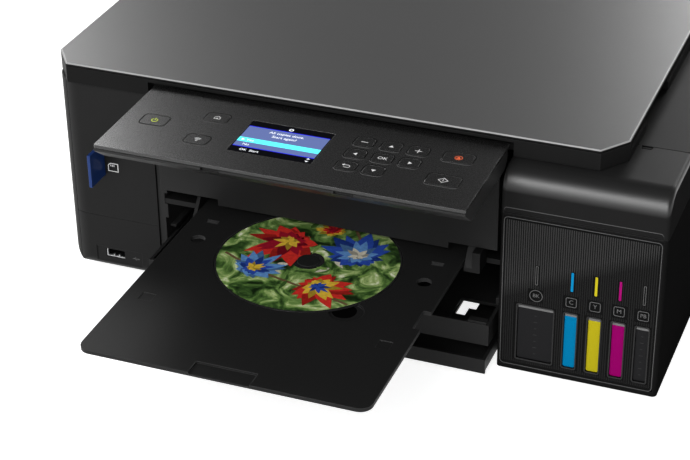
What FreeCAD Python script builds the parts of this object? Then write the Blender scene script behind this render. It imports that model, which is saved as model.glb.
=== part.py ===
"""Disc label printer: an all-in-one ink-tank printer with a disc tray, as a FreeCAD document.

Every sub-part is an object of its own, bound to the spreadsheets "sizes" (driving sizes) and
"places" (worked out from them).  Frame: millimetres, +X to the right as seen from the front,
+Y to the back, +Z up, origin at the middle of the bounding box's underside.
"""
import FreeCAD, Part
import math
import os
import re
import Sketcher

doc = FreeCAD.newDocument("disc_label_printer")

# ------------------------------------------------------------------ driving sizes, in mm
SIZES = {
    # the whole printer
    "body_width": 425, "body_depth": 359, "body_height": 161, "floor_gap": 3, "wall": 2.5,
    "seam": 0.3, "play": 0.5, "edge_round": 1.2,
    # main blocks
    "left_block_width": 72.2, "opening_step": 5, "tank_width": 104.8, "cassette_proud": 12,
    "tray_reach": 150, "left_setback": 22, "fascia_setback": 15, "lid_setback": 18,
    "deck_drop": 18.4, "deck_gap": 0.6, "low_wall_height": 64, "high_wall_depth": 88,
    # left covers
    "side_roll_width": 9.2, "side_bottom_round": 20, "side_front_round": 18,
    "front_bottom_round": 8, "split_height": 45.3,
    "cover_depth": 30, "cover_return": 8, "side_return": 23.2,
    "card_x": 32.9, "card_slot_height": 78, "usb_x": 29.3, "usb_height": 12.3,
    # scanner unit
    "scanner_overhang": 70, "lid_edge": 2, "lid_gap": 0.5, "rim_height": 11.5, "rim_width": 14,
    "corner_cut_x": 13.7, "corner_cut_y": 18.4, "pan_depth": 14, "bezel": 2.6, "bed_drop": 4.5,
    "glass_length": 314, "glass_width": 228, "glass_thickness": 2, "pan_front": 46,
    "panel_recess_depth": 8, "panel_recess_height": 9.5, "finger_recess_depth": 8,
    "finger_recess_length": 60, "finger_recess_start": 80, "finger_recess_height": 8,
    "side_groove": 1.2, "side_groove_start": 5, "side_groove_rise": 5.5, "grip_step": 2.5,
    "scan_bar_width": 22, "scan_bar_height": 13, "lid_pad_thickness": 4.5, "lid_axis_inset": 6,
    "lid_barrel": 3, "knuckle_width": 14, "knuckle_inset": 60, "lift_inset": 45, "lift_axis_inset": 2,
    "lift_axis_drop": 2, "lift_ear_radius": 1.7, "hinge_pin": 1, "hinge_fit": 0.05,
    # control panel
    "panel_drop": 5.5, "panel_depth": 87.8, "panel_plate": 2, "panel_axis_drop": 6.35,
    "panel_round": 7.15, "panel_bevel": 12, "panel_groove": 0.8, "panel_lug_width": 12,
    "panel_lug_radius": 3.5, "panel_pin": 2.5, "panel_pin_length": 4, "panel_lug_inset": 22,
    "key_gap": 0.25, "key_sink": 1.9, "key_travel": 0.6, "key_proud": 0.1, "key_corner": 2.6,
    "panel_display_x": 107.6, "panel_display_y": 42.6, "display_length": 55.2,
    "display_depth": 41.2, "display_sink": 0.2, "display_seat": 2.7, "latch_inset": 72,
    "latch_pitch": 86.4, "latch_width": 12.6,
    # front opening
    "fascia_gap": 9.3, "fascia_lip": 4.5, "fascia_lip_left": 42, "fascia_lip_right": 32.6,
    "fascia_left_gap": 2, "fascia_right_gap": 5.7, "fascia_top_drop": 17.5, "flange_back": 1.5,
    "flange_overlap": 2, "guide_start": 9, "guide_back": 27, "guide_rise": 8, "guide_drop": 4,
    "left_guide_share": 0.083, "right_guide_share": 0.46, "right_guide_start": 9.2,
    # disc tray and disc
    "tray_level": 70, "tray_width": 186, "tray_length": 262, "tray_thickness": 2.5,
    "tray_corner": 8, "tray_offset": 2.2, "disc_back": 139.1, "disc_radius": 60,
    "disc_thickness": 1.2, "disc_hole": 7.5, "disc_seat": 1, "disc_gap": 0.5, "hub_play": 0.3,
    # paper trays
    "cassette_floor": 2, "cassette_wall": 2, "cassette_height": 10.3, "cassette_length": 310,
    "upper_cassette_level": 20.6, "upper_cassette_height": 15.4, "upper_cassette_length": 180,
    "upper_cassette_back": 6, "output_tray_level": 44, "output_tray_lip": 8,
    "output_tray_back": 84, "output_tray_length": 228, "rail_width": 4, "rail_thickness": 1.5,
    "catch_reach": 3.4, "catch_height": 5,
    # ink-tank unit
    "tank_panel_left": 2.3, "tank_panel_right": 2.9, "tank_panel_low": 6.3,
    "tank_panel_gap": 1.8, "tank_cover_height": 29.6, "tank_cover_depth": 59.5,
    "tank_cover_round": 16, "tank_side_round": 3, "window_low": 12.2, "window_top": 52.8,
    "black_window": 23.3, "colour_window": 8.2, "black_tank_x": 24.8, "colour_tank_x": 47.5,
    "tank_pitch": 15.22, "black_tank_width": 29, "colour_tank_width": 14.6, "tank_back": 88,
    "tank_height": 86.5, "tank_skin": 1.5, "neck_radius": 5.6, "neck_height": 5, "neck_bore": 4.2,
    "neck_y": 60, "cap_radius": 6.2, "cap_height": 8, "cap_plug": 5, "cover_pin": 0.7,
    "cover_gap": 0.6, "cover_lug_radius": 1.4, "cover_lug_width": 6,
    # mechanism
    "carriage_width": 84, "carriage_home": 8, "carriage_front": 122, "carriage_depth": 114,
    "carriage_rise": 4, "carriage_drop": 13, "nozzle_drop": 1.5, "sheet": 1.5,
    "bay_margin": 4, "bay_pitch": 16,
    "chassis_front": 108, "chassis_depth": 154, "chassis_drop": 12, "chassis_left": 24.2,
    "chassis_right": 7.3, "guide_flange_rise": 24, "guide_depth": 18, "belt_y": 246,
    "belt_rise": 7, "belt_width": 6, "belt_thickness": 1.2, "pulley_radius": 6,
    "pulley_inset": 14, "motor_radius": 11, "motor_shaft": 1.5, "feed_y": 245, "feed_radius": 8,
    "feed_shaft": 3, "exit_y": 126, "exit_radius": 5.5, "exit_shaft": 2.5, "roller_drop": 0.5,
    "feed_pulley": 11, "roller_pulley_width": 7, "feed_motor_length": 22,
    "tube_radius": 1.2, "tube_pitch": 2.7, "tube_bend": 5, "tube_drop": 9.6,
    "platen_rib_share": 0.08326, "tube_entry": 46,
    "tube_loop": 20,
    # electrics, feet, fasteners, rear
    "board_thickness": 1.6, "card_length": 32, "card_width": 24, "card_thickness": 2.1,
    "card_out": 19, "foot_radius": 7,
    "screw_inset": 16, "screw_inset_low": 11, "screw_drop": 34.4, "screw_pitch": 36,
    "screw_below_flap": 12, "screw_radius": 1.5, "screw_head": 3, "screw_length": 7,
    "inlet_width": 22, "inlet_height": 14, "inlet_x": 34, "inlet_z": 26, "rear_flap_drop": 8.4,
    "rear_flap_height": 42, "rear_flap_left": 90, "rear_flap_right": 125,
}

# ------------------------------------------------------------------ places worked out from them
PLACES = {
    "left": "-body_width / 2",
    "right": "body_width / 2",
    "back": "(body_depth + tray_reach) / 2",
    "front": "back - body_depth + cassette_proud",
    "tank_left": "right - tank_width",
    "left_block_right": "left + left_block_width",
    "opening_left": "left_block_right + opening_step",
    "opening_right": "tank_left - seam - wall",
    "left_front": "front + left_setback",
    "side_seam": "left + side_roll_width",
    "covers_back": "left_front + cover_depth",
    "fascia_front": "front + fascia_setback",
    "inner_back": "back - wall - seam",
    "body_floor": "floor_gap + wall",
    "slab_bottom": "body_height - lid_edge - lid_gap - rim_height",
    "rim_top": "slab_bottom + rim_height",
    "bed_top": "rim_top - bed_drop",
    "deck_top": "slab_bottom - deck_gap",
    "deck_height": "deck_top - deck_drop",
    "rear_flap_high": "deck_top - rear_flap_drop",
    "rear_flap_low": "rear_flap_high - rear_flap_height",
    "tank_seam_height": "deck_top - tank_cover_height",
    "tank_panel_top": "tank_seam_height - tank_panel_gap",
    "fascia_top": "body_height - fascia_top_drop",
    "fascia_height": "tray_level + fascia_gap",
    "scanner_front": "front + lid_setback",
    "scanner_right": "tank_left + scanner_overhang",
    "pan_left": "left + side_return + 3",
    "pan_right": "scanner_right - 16",
    "pan_y": "scanner_front + pan_front",
    "pan_back": "back - 11",
    "pan_bottom": "slab_bottom - pan_depth",
    "lid_axis_y": "back - lid_axis_inset",
    "lid_axis_z": "body_height - lid_barrel",
    "lift_axis_y": "back - lift_axis_inset",
    "lift_axis_z": "slab_bottom - lift_axis_drop",
    "panel_left": "opening_left + 2",
    "panel_right": "tank_left - 0.6",
    "panel_top": "body_height - panel_drop",
    "panel_axis_y": "front + panel_axis_drop",
    "panel_axis_z": "panel_top - panel_axis_drop",
    "panel_back": "scanner_front - 0.1",
    "panel_front": "panel_back - panel_depth",
    "display_x": "panel_left + panel_display_x",
    "display_y": "panel_front + panel_display_y",
    "panel_low": "panel_axis_z - panel_round",
    "plate_low": "panel_top - panel_plate",
    "fascia_left": "opening_left + fascia_left_gap",
    "fascia_right": "tank_left - fascia_right_gap",
    "tray_right": "(opening_left + tank_left) / 2 + tray_offset + tray_width / 2",
    "tray_left": "tray_right - tray_width",
    "tray_front": "-back",
    "tray_low": "tray_level - tray_thickness",
    "disc_x": "(tray_left + tray_right) / 2",
    "disc_y": "tray_front + disc_back",
    "disc_low": "tray_level - disc_seat",
    "cassette_left": "opening_left + play",
    "cassette_right": "opening_right - 0.9",
    "cassette_low": "floor_gap + rail_thickness + seam",
    "output_left": "opening_left + play",
    "output_right": "opening_right - play",
    "chassis_low": "body_floor + seam",
    "chassis_top": "pan_bottom - chassis_drop",
    "carriage_low": "tray_level + carriage_rise",
    "carriage_top": "pan_bottom - carriage_drop",
    "guide_height": "carriage_low + guide_flange_rise",
    "belt_height": "guide_height + belt_rise",
    "tube_height": "pan_bottom - tube_drop",
    "chassis_y": "front + chassis_front",
    "chassis_back": "chassis_y + chassis_depth",
    "chassis_x": "left + chassis_left",
    "chassis_end": "right - chassis_right",
    "belt_x_right": "chassis_end - pulley_inset",
    "belt_x_left": "chassis_x + pulley_inset",
    "belt_mid_y": "front + belt_y",
    "feed_axis_y": "front + feed_y",
    "feed_axis_z": "tray_low - roller_drop - feed_radius",
    "exit_axis_y": "front + exit_y",
    "exit_axis_z": "tray_low - roller_drop - exit_radius",
    "exit_pulley": "feed_pulley * exit_radius / feed_radius",
    "roller_left": "opening_left - wall - 15",
    "ink_front": "front + wall + seam",
    "ink_top": "body_floor + tank_height",
    "neck_top": "ink_top + neck_height",
    "rear_left": "left + wall + seam",
    "rear_right": "right - wall - seam",
    "cover_back": "front + tank_cover_depth",
    "cover_axis_y": "cover_back - 2.2",
    "cover_axis_z": "deck_top - cover_lug_radius",
}

# keys of the control panel: centre from the display's centre, then length and depth
KEYS = {
    "power_button": (-86.3, 0.1, 16.5, 12.5),
    "home_button": (-50.2, 16, 14.5, 11),
    "network_button": (-50.2, -14.6, 14.5, 11),
    "minus_button": (48.5, 16.8, 12, 11),
    "up_button": (66, 16.8, 12, 11),
    "plus_button": (83.5, 16.8, 12, 11),
    "left_button": (48.5, 0.8, 12, 11),
    "ok_button": (66, 0.8, 12, 11),
    "right_button": (83.5, 0.8, 12, 11),
    "back_button": (48.5, -15.2, 12, 11),
    "down_button": (66, -15.2, 12, 11),
    "stop_button": (109.2, 16.8, 18.5, 12),
    "start_button": (109.2, -12.7, 20, 13),
}
KEY_FIELDS = ("x", "y", "length", "depth")

# screws in the rear cover: place across, and height
REAR_SCREWS = (
    ("left + 84", "floor_gap + screw_inset_low"), ("left + screw_inset", "deck_top - screw_drop"),
    ("left + 214", "floor_gap + screw_inset_low"), ("left + 214", "rear_flap_low - screw_below_flap"),
    ("right - screw_inset", "deck_top - screw_drop"),
    ("right - screw_inset", "deck_top - screw_drop - screw_pitch"),
)


# ------------------------------------------------------------------ helpers
def add_sheet(name, cells):
    """A spreadsheet with one alias a row; returns it."""
    sheet = doc.addObject("Spreadsheet::Sheet", name)
    for row, (alias, content) in enumerate(cells.items(), start=1):
        sheet.set("A%d" % row, alias)
        sheet.set("B%d" % row, str(content))
        sheet.setAlias("B%d" % row, alias)
    return sheet


OWNER = {alias: "sizes" for alias in SIZES}
OWNER.update({alias: "places" for alias in PLACES})
for key, numbers in KEYS.items():
    for field, number in zip(KEY_FIELDS, numbers):
        SIZES[key + "_" + field] = number
        OWNER[key + "_" + field] = "sizes"


def full(text):
    """The expression with each bare alias given the name of its sheet."""
    return re.sub(r"[a-z][a-z_]*", lambda word: prefixed(word.group()), str(text))


def prefixed(word):
    return OWNER[word] + "." + word if word in OWNER else word


def number(text):
    """What the expression comes to, as a plain number."""
    return float(places.evalExpression(full(text)))


sizes = add_sheet("sizes", SIZES)
doc.recompute()
places = add_sheet("places", {})
for row, (alias, formula) in enumerate(PLACES.items(), start=1):
    places.set("A%d" % row, alias)
    places.set("B%d" % row, "=" + full(formula).replace("places.", ""))
    places.setAlias("B%d" % row, alias)
doc.recompute()


def bind(thing, **expressions):
    for name, text in expressions.items():
        thing.setExpression(name, full(text))
    return thing


def move_to(thing, x, y, z):
    thing.setExpression("Placement.Base.x", full(x))
    thing.setExpression("Placement.Base.y", full(y))
    thing.setExpression("Placement.Base.z", full(z))
    return thing


def block(label, x, y, z):
    """A box between two expressions along each axis."""
    box = doc.addObject("Part::Box", label)
    bind(box, Length="(%s) - (%s)" % (x[1], x[0]), Width="(%s) - (%s)" % (y[1], y[0]),
         Height="(%s) - (%s)" % (z[1], z[0]))
    return move_to(box, x[0], y[0], z[0])


TURNS = {
    "x": FreeCAD.Rotation(FreeCAD.Vector(0, 1, 0), 90),
    "y": FreeCAD.Rotation(FreeCAD.Vector(1, 0, 0), -90),
    "z": FreeCAD.Rotation(),
}


def rod(label, axis, radius, x, y, z):
    """A cylinder along one axis: that axis has a pair of expressions, the others have one."""
    ends = {"x": x, "y": y, "z": z}[axis]
    start = {"x": x, "y": y, "z": z}
    start[axis] = ends[0]
    bar = doc.addObject("Part::Cylinder", label)
    bar.Placement = FreeCAD.Placement(FreeCAD.Vector(), TURNS[axis])
    bind(bar, Radius=radius, Height="(%s) - (%s)" % (ends[1], ends[0]))
    return move_to(bar, start["x"], start["y"], start["z"])


def fuse(label, pieces):
    union = doc.addObject("Part::MultiFuse", label)
    union.Shapes = pieces
    union.Refine = True
    return union


def group(label, pieces):
    """Separate solids that share one node."""
    bundle = doc.addObject("Part::Compound", label)
    bundle.Links = pieces
    return bundle


def cut(label, base, tools):
    difference = doc.addObject("Part::Cut", label)
    difference.Base = base
    difference.Tool = tools[0] if len(tools) == 1 else fuse(label + "_tools", tools)
    difference.Refine = True
    return difference


def common(label, base, tool):
    overlap = doc.addObject("Part::Common", label)
    overlap.Base = base
    overlap.Tool = tool
    overlap.Refine = True
    return overlap


def origin_plane(body, role):
    return next(f for f in body.Origin.OriginFeatures if f.Role == role)


def outline(body, name, role, points):
    """A closed sketch of straight lines whose corners are bound to pairs of expressions."""
    sketch = body.newObject("Sketcher::SketchObject", name)
    sketch.AttachmentSupport = [(origin_plane(body, role), "")]
    sketch.MapMode = "FlatFace"
    spots = [FreeCAD.Vector(number(a), number(b), 0) for a, b in points]
    for index, spot in enumerate(spots):
        sketch.addGeometry(Part.LineSegment(spot, spots[(index + 1) % len(spots)]))
    for index in range(len(spots)):
        following = (index + 1) % len(spots)
        sketch.addConstraint(Sketcher.Constraint("Coincident", index, 2, following, 1))
    for index, (a, b) in enumerate(points):
        for kind, text, value in (("DistanceX", a, spots[index].x), ("DistanceY", b, spots[index].y)):
            place = sketch.addConstraint(Sketcher.Constraint(kind, -1, 1, index, 1, value))
            sketch.setExpression("Constraints[%d]" % place, full(text))
    return sketch


def prism(label, role, points, start, length):
    """A PartDesign body: an outline padded along the plane's own axis from a start value.

    XY_Plane pads along +Z, YZ_Plane along +X and XZ_Plane along +Y.
    """
    body = doc.addObject("PartDesign::Body", label)
    pad = body.newObject("PartDesign::Pad", label + "_pad")
    pad.Profile = outline(body, label + "_outline", role, points)
    pad.Reversed = role == "XZ_Plane"
    bind(pad, Length=length)
    axis = {"XY_Plane": "z", "YZ_Plane": "x", "XZ_Plane": "y"}[role]
    body.setExpression("Placement.Base." + axis, full(start))
    doc.recompute()
    return body


def box_points(a, b):
    return [(a[0], b[0]), (a[1], b[0]), (a[1], b[1]), (a[0], b[1])]


def edges_where(body, test):
    """Names of the edges of the body's tip whose middle and direction pass the test."""
    names = []
    for index, edge in enumerate(body.Shape.Edges, start=1):
        middle = edge.valueAt((edge.FirstParameter + edge.LastParameter) / 2)
        ends = [vertex.Point for vertex in edge.Vertexes]
        way = (ends[-1] - ends[0]) if len(ends) > 1 else FreeCAD.Vector()
        if test(middle, way):
            names.append("Edge%d" % index)
    return names


def dress(body, kind, radius, test):
    """A PartDesign::Fillet or Chamfer on the chosen edges of the body's tip."""
    names = edges_where(body, test)
    tip = body.Tip
    feature = body.newObject("PartDesign::" + kind, body.Name + "_" + kind.lower())
    feature.Base = (tip, names)
    bind(feature, **{"Radius" if kind == "Fillet" else "Size": radius})
    doc.recompute()
    return body


def shell(body, thickness, open_faces):
    """Hollows the body to a wall, leaving out the faces whose centre passes the test."""
    tip = body.Tip
    names = []
    for index, face in enumerate(body.Shape.Faces, start=1):
        if open_faces(face.CenterOfMass, face.BoundBox):
            names.append("Face%d" % index)
    hollow = body.newObject("PartDesign::Thickness", body.Name + "_hollow")
    hollow.Base = (tip, names)
    hollow.Reversed = True
    bind(hollow, Value=thickness)
    doc.recompute()
    return body


def same(a, b):
    return abs(a - b) < 0.01


def shape_part(label, shape):
    """A sub-part whose shape is set by Part's own functions."""
    feature = doc.addObject("Part::Feature", label)
    feature.Shape = shape
    feature.Placement = FreeCAD.Placement()
    return feature


NODES = []


def node(thing):
    """Marks an object as a finished sub-part, under its own label."""
    NODES.append(thing)
    return thing


# ------------------------------------------------------------------ covers of the left block
def rounded_bar(label, role, points, start, length, radius, side, level):
    """A prism whose one long edge, where its two coordinates are side and level, is rounded."""
    bar = prism(label, role, points, start, length)
    first = {"XY_Plane": "x", "XZ_Plane": "x", "YZ_Plane": "y"}[role]
    second = {"XY_Plane": "y", "XZ_Plane": "z", "YZ_Plane": "z"}[role]
    return dress(bar, "Fillet", radius,
                 lambda middle, way: same(getattr(middle, first), number(side))
                 and same(getattr(middle, second), number(level)))


def left_form(label, inset):
    """The left block's form, rounded at its front left, bottom left and bottom front edges."""
    x = ("left + " + inset, "left_block_right - " + inset)
    y = ("left_front + " + inset, "inner_back" if inset == "0" else "back")
    z = ("floor_gap + " + inset, "deck_top - " + inset)
    radii = ("side_front_round", "side_bottom_round", "front_bottom_round")
    corner, under, toe = ("%s - %s" % (radius, inset) for radius in radii)
    plan = rounded_bar(label + "_plan", "XY_Plane", box_points(x, y), z[0], "(%s) - (%s)" % (z[1], z[0]),
                       corner, x[0], y[0])
    front = rounded_bar(label + "_front", "XZ_Plane", box_points(x, z), y[0], "(%s) - (%s)" % (y[1], y[0]),
                        under, x[0], z[0])
    side = rounded_bar(label + "_side", "YZ_Plane", box_points(y, z), x[0], "(%s) - (%s)" % (x[1], x[0]),
                       toe, y[0], z[0])
    return common(label, common(label + "_pair", plan, front), side)


def left_covers():
    """One rolled shell, split into a side cover and an upper and a lower front cover."""
    outer = cut("left_shell", left_form("left_outer", "0"), [left_form("left_inner", "wall")])

    front_zone = block("front_zone", ("side_seam", "right"), ("front - 50", "covers_back"),
                       ("0", "body_height"))
    inner_zone = block("inner_zone", ("left + side_return", "right"),
                       ("covers_back - 1", "back + 50"), ("0", "body_height"))
    node(cut("left_side_cover", outer, [front_zone, inner_zone]))

    # the front covers: their right wall turns back a short way, their top and bottom further
    keep = ("side_seam + seam", "right")
    upper_zone = block("upper_zone", keep, ("front - 50", "covers_back - seam"),
                       ("split_height", "body_height"))
    lower_zone = block("lower_zone", keep, ("front - 50", "covers_back - seam"),
                       ("0", "split_height - seam"))
    upper = common("upper_cover_blank", outer, upper_zone)
    lower = common("lower_cover_blank", outer, lower_zone)

    card_slot = block("card_slot", ("left + card_x - 1.5", "left + card_x + 1.5"),
                      ("left_front - 1", "left_front + wall + 1"),
                      ("card_slot_height - play", "card_slot_height + card_width + play"))
    node(cut("left_upper_cover", upper, [right_wall_trim("upper"), card_slot]))
    usb_hole = block("usb_hole", ("left + usb_x", "left + usb_x + 14.4"),
                     ("left_front - 1", "left_front + wall + 1"),
                     ("usb_height", "usb_height + 6.4"))
    usb_recess = block("usb_recess", ("left + usb_x - 7", "left + usb_x + 28"),
                       ("left_front - 1", "left_front + 0.8"), ("usb_height - 4", "usb_height + 8"))
    node(cut("left_lower_cover", lower, [right_wall_trim("lower"), usb_hole, usb_recess]))


def right_wall_trim(name):
    """What is cut from a front cover's right wall behind its short return."""
    return block(name + "_wall_trim", ("left_block_right - wall - 0.1", "right"),
                 ("left_front + cover_return", "back"), ("body_floor", "deck_top - wall"))


# ------------------------------------------------------------------ inner frame of the base
LIFT_SIDES = ("left", "right")


def lift_x(side):
    """Middle of one of the scanner unit's two rear hinges."""
    return {"left": "left + lift_inset", "right": "scanner_right - lift_inset"}[side]


def base_frame():
    """Floor, inner walls with the paper-tray rails, rear wall, left deck and hinge ears."""
    deep = ("covers_back + seam", "inner_back")
    floor = ("floor_gap", "body_floor")
    low = ("floor_gap", "low_wall_height")
    high = ("floor_gap", "deck_height")
    left_wall = ("opening_left - wall", "opening_left")
    right_wall = ("opening_right", "opening_right + wall")
    wall_start = "left_front + cover_return"
    flange = ("left_front + flange_back", "left_front + flange_back + wall")
    over_cassette = "upper_cassette_level + upper_cassette_height + 1.5"
    over_output = "output_tray_level + output_tray_lip + play"
    fascia_back = "fascia_front + wall + seam"
    pieces = [
        block("left_floor", ("left + side_return + seam", "opening_left"), deep, floor),
        block("rear_floor", ("left + side_return + seam", "opening_right + wall"),
              ("front + 322", "inner_back"), floor),
        block("left_inner_wall", left_wall, (flange[0], "inner_back"), low),
        block("left_high_wall", left_wall, (flange[0], "front + high_wall_depth"), high),
        block("left_front_flange", ("left_block_right + seam", "opening_left"), flange, high),
        block("left_flange_edge", ("left_block_right + seam", "opening_left + flange_overlap"), flange,
              (over_output, "tray_low - guide_drop - seam")),
        block("left_flange_top", ("left_block_right + seam", "opening_left + flange_overlap"), flange,
              ("tray_low + guide_drop", "fascia_height - seam")),
        block("right_inner_wall", right_wall, (fascia_back, "inner_back"), low),
        block("right_high_wall", right_wall, (fascia_back, "front + high_wall_depth"), high),
        block("rear_wall", ("left + side_return + seam", "opening_right + wall"),
              ("inner_back - wall", "inner_back"), high),
        block("rear_wall_left", ("rear_left", "left + side_return + 1"),
              ("inner_back - wall", "inner_back"),
              ("floor_gap + side_bottom_round + 1", "deck_height")),
        block("rear_wall_right", ("opening_right", "rear_right"),
              ("inner_back - wall", "inner_back"), ("low_wall_height + seam", "deck_height")),
        block("left_deck", ("rear_left", "opening_left"), deep,
              ("deck_height", "deck_height + wall")),
        block("tray_catch", ("opening_right - catch_reach", "opening_right"),
              (fascia_back, fascia_back + " + catch_reach"),
              (over_cassette, over_cassette + " + catch_height")),
    ]
    for name, level in (("cassette", "cassette_low"), ("upper", "upper_cassette_level"),
                        ("output", "output_tray_level")):
        z = (level + " - seam - rail_thickness", level + " - seam")
        reach = "rail_width"
        y = (wall_start, "front + 310")
        pieces.append(block(name + "_left_rail", ("opening_left", "opening_left + " + reach), y, z))
        pieces.append(block(name + "_right_rail", ("opening_right - " + reach, "opening_right"), y, z))
    for side in LIFT_SIDES:
        for name, near, far in (("a", "-13", "-7.5"), ("b", "7.5", "13")):
            x = ("%s + %s" % (lift_x(side), near), "%s + %s" % (lift_x(side), far))
            pieces.append(block("%s_ear_%s" % (side, name), x,
                                ("lift_axis_y - lift_ear_radius", "lift_axis_y + lift_ear_radius"),
                                ("lift_axis_z - 10", "lift_axis_z")))
            pieces.append(block("%s_ear_root_%s" % (side, name), x,
                                ("inner_back - wall", "lift_axis_y + lift_ear_radius"),
                                ("deck_height - 6", "lift_axis_z - 8")))
            pieces.append(rod("%s_ear_round_%s" % (side, name), "x", "lift_ear_radius", x,
                              "lift_axis_y", "lift_axis_z"))
    body = fuse("base_frame_blank", pieces)

    holes = [
        rod("feed_bearings", "x", "feed_shaft + hinge_fit", ("opening_left - 20", "tank_left + 5"),
            "feed_axis_y", "feed_axis_z"),
        rod("exit_bearings", "x", "exit_shaft + hinge_fit", ("opening_left - 20", "tank_left + 5"),
            "exit_axis_y", "exit_axis_z"),
        block("rear_feed_slot", ("left + rear_flap_left + 6", "right - rear_flap_right - 6"),
              ("inner_back - wall - 1", "inner_back + 1"),
              ("rear_flap_low + 6", "rear_flap_high - 14")),
        block("inlet_opening", ("left + inlet_x - 1", "left + inlet_x + inlet_width + 1"),
              ("inner_back - wall - 1", "inner_back + 1"),
              ("inlet_z - inlet_height / 2 - 1", "inlet_z + inlet_height / 2 + 1")),
    ]
    for side in LIFT_SIDES:
        holes.append(rod(side + "_lift_bore", "x", "hinge_pin + hinge_fit",
                         (lift_x(side) + " - 14", lift_x(side) + " + 14"),
                         "lift_axis_y", "lift_axis_z"))
    holes += screw_holes("frame", "inner_back - wall - 1", "inner_back + 1")
    node(cut("base_frame", body, holes))


def screw_holes(name, low, high):
    return [rod("%s_screw_hole_%d" % (name, index), "y", "screw_radius + 0.1",
                x, (low, high), z)
            for index, (x, z) in enumerate(REAR_SCREWS)]


def rear_cover():
    """The back plate, with notches for the hinges, the paper flap and the mains inlet."""
    plate = rounded_bar("rear_plate", "XZ_Plane",
                        box_points(("left", "right"), ("floor_gap", "lift_axis_z - 0.4")), "back - wall",
                        "wall", "side_bottom_round", "left", "floor_gap")
    flap_hole = block("rear_flap_hole",
                       ("left + rear_flap_left - play", "right - rear_flap_right + play"),
                       ("back - wall - 1", "back + 1"),
                       ("rear_flap_low - play", "rear_flap_high + play"))
    inlet = block("rear_inlet_hole", ("left + inlet_x - seam", "left + inlet_x + inlet_width + seam"),
                  ("back - wall - 1", "back + 1"),
                  ("inlet_z - inlet_height / 2 - seam", "inlet_z + inlet_height / 2 + seam"))
    bores = rod("rear_flap_bores", "x", "cover_pin + hinge_fit",
                ("left + rear_flap_left - 3", "right - rear_flap_right + 3"), "back - wall / 2",
                "rear_flap_low + wall / 2")
    tools = [flap_hole, inlet, bores]
    for side in LIFT_SIDES:
        tools.append(block(side + "_hinge_notch", (lift_x(side) + " - 15", lift_x(side) + " + 15"),
                           ("back - wall - 1", "back + 1"), ("deck_height - 7", "body_height")))
    tools += screw_holes("cover", "back - wall - 1", "back + 1")
    tools += [rod("screw_seat_%d" % index, "y", "screw_head + 0.2", x, ("back - 1.4", "back + 1"), z)
              for index, (x, z) in enumerate(REAR_SCREWS)]
    node(cut("rear_cover", plate, tools))


def rear_feed_cover():
    """Flap over the rear paper slot, on two pins along its lower edge."""
    flap = block("rear_flap", ("left + rear_flap_left", "right - rear_flap_right"),
                 ("back - wall", "back"), ("rear_flap_low + wall / 2", "rear_flap_high"))
    barrel = rod("rear_flap_barrel", "x", "wall / 2",
                 ("left + rear_flap_left", "right - rear_flap_right"), "back - wall / 2",
                 "rear_flap_low + wall / 2")
    pins = rod("rear_flap_pins", "x", "cover_pin",
               ("left + rear_flap_left - 2", "right - rear_flap_right + 2"), "back - wall / 2",
               "rear_flap_low + wall / 2")
    grip = block("rear_flap_grip", ("-20", "20"), ("back - 1", "back + 1"),
                 ("rear_flap_high - 5", "rear_flap_high + 1"))
    node(cut("rear_feed_cover", fuse("rear_flap_blank", [flap, barrel, pins]), [grip]))


def screws():
    pieces = []
    for index, (x, z) in enumerate(REAR_SCREWS):
        head = rod("screw_head_%d" % index, "y", "screw_head", x, ("back - 1.4", "back - 0.2"), z)
        shank = rod("screw_shank_%d" % index, "y", "screw_radius", x,
                    ("back - 1.4 - screw_length", "back - 1.4"), z)
        slot = block("screw_slot_%d" % index, (x + " - 2", x + " + 2"),
                     ("back - 0.8", "back"), (z + " - 0.4", z + " + 0.4"))
        pieces.append(cut("screw_%d" % index, fuse("screw_blank_%d" % index, [head, shank]), [slot]))
    node(group("screws", pieces))


def feet():
    spots = (("left + 50", "front + 75"), ("left + 50", "front + 325"),
             ("tank_left + 52", "front + 20"), ("tank_left + 52", "front + 325"))
    node(group("feet", [rod("foot_%d" % index, "z", "foot_radius", x, y, ("0", "floor_gap"))
                        for index, (x, y) in enumerate(spots)]))


# ------------------------------------------------------------------ opening under the panel
def fascia():
    """Wall behind the control panel, with its lip, side returns and the panel's hinge lugs."""
    face = ("fascia_front", "fascia_front + wall")
    deep = ("fascia_front", "left_front + cover_return")
    pieces = [
        block("fascia_face", ("fascia_left", "fascia_right"), face, ("fascia_height", "fascia_top")),
        block("fascia_lip_piece", ("fascia_left + fascia_lip_left", "fascia_right - fascia_lip_right"),
              face, ("fascia_height - fascia_lip", "fascia_height + 1")),
        block("fascia_left_return", ("fascia_left", "fascia_left + wall"), deep,
              ("fascia_height", "deck_height")),
        block("fascia_left_tab", ("opening_left", "fascia_left + wall"),
              ("left_front + cover_return - wall", "left_front + cover_return"),
              ("fascia_height", "deck_height")),
        block("fascia_right_return", ("fascia_right - wall", "fascia_right"), deep,
              ("fascia_height", "deck_height")),
        block("fascia_right_tab", ("fascia_right - wall", "opening_right"),
              ("left_front + cover_return - wall", "left_front + cover_return"),
              ("fascia_height", "deck_height")),
    ]
    for side, x in LUGS.items():
        span = (x, x + " + panel_lug_width")
        z = ("panel_axis_z - panel_lug_radius", "panel_axis_z + panel_lug_radius")
        pieces.append(block(side + "_lug", span, ("panel_axis_y", "fascia_front + wall"), z))
        pieces.append(block(side + "_lug_root", span, face, ("fascia_top - 1", "panel_axis_z")))
        pieces.append(rod(side + "_lug_round", "x", "panel_lug_radius", span, "panel_axis_y",
                          "panel_axis_z"))
        pieces.append(rod(side + "_panel_pin", "x", "panel_pin",
                          (x + " - panel_pin_length", x + " + panel_lug_width + panel_pin_length"),
                          "panel_axis_y", "panel_axis_z"))
    node(fuse("front_fascia", pieces))


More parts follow.
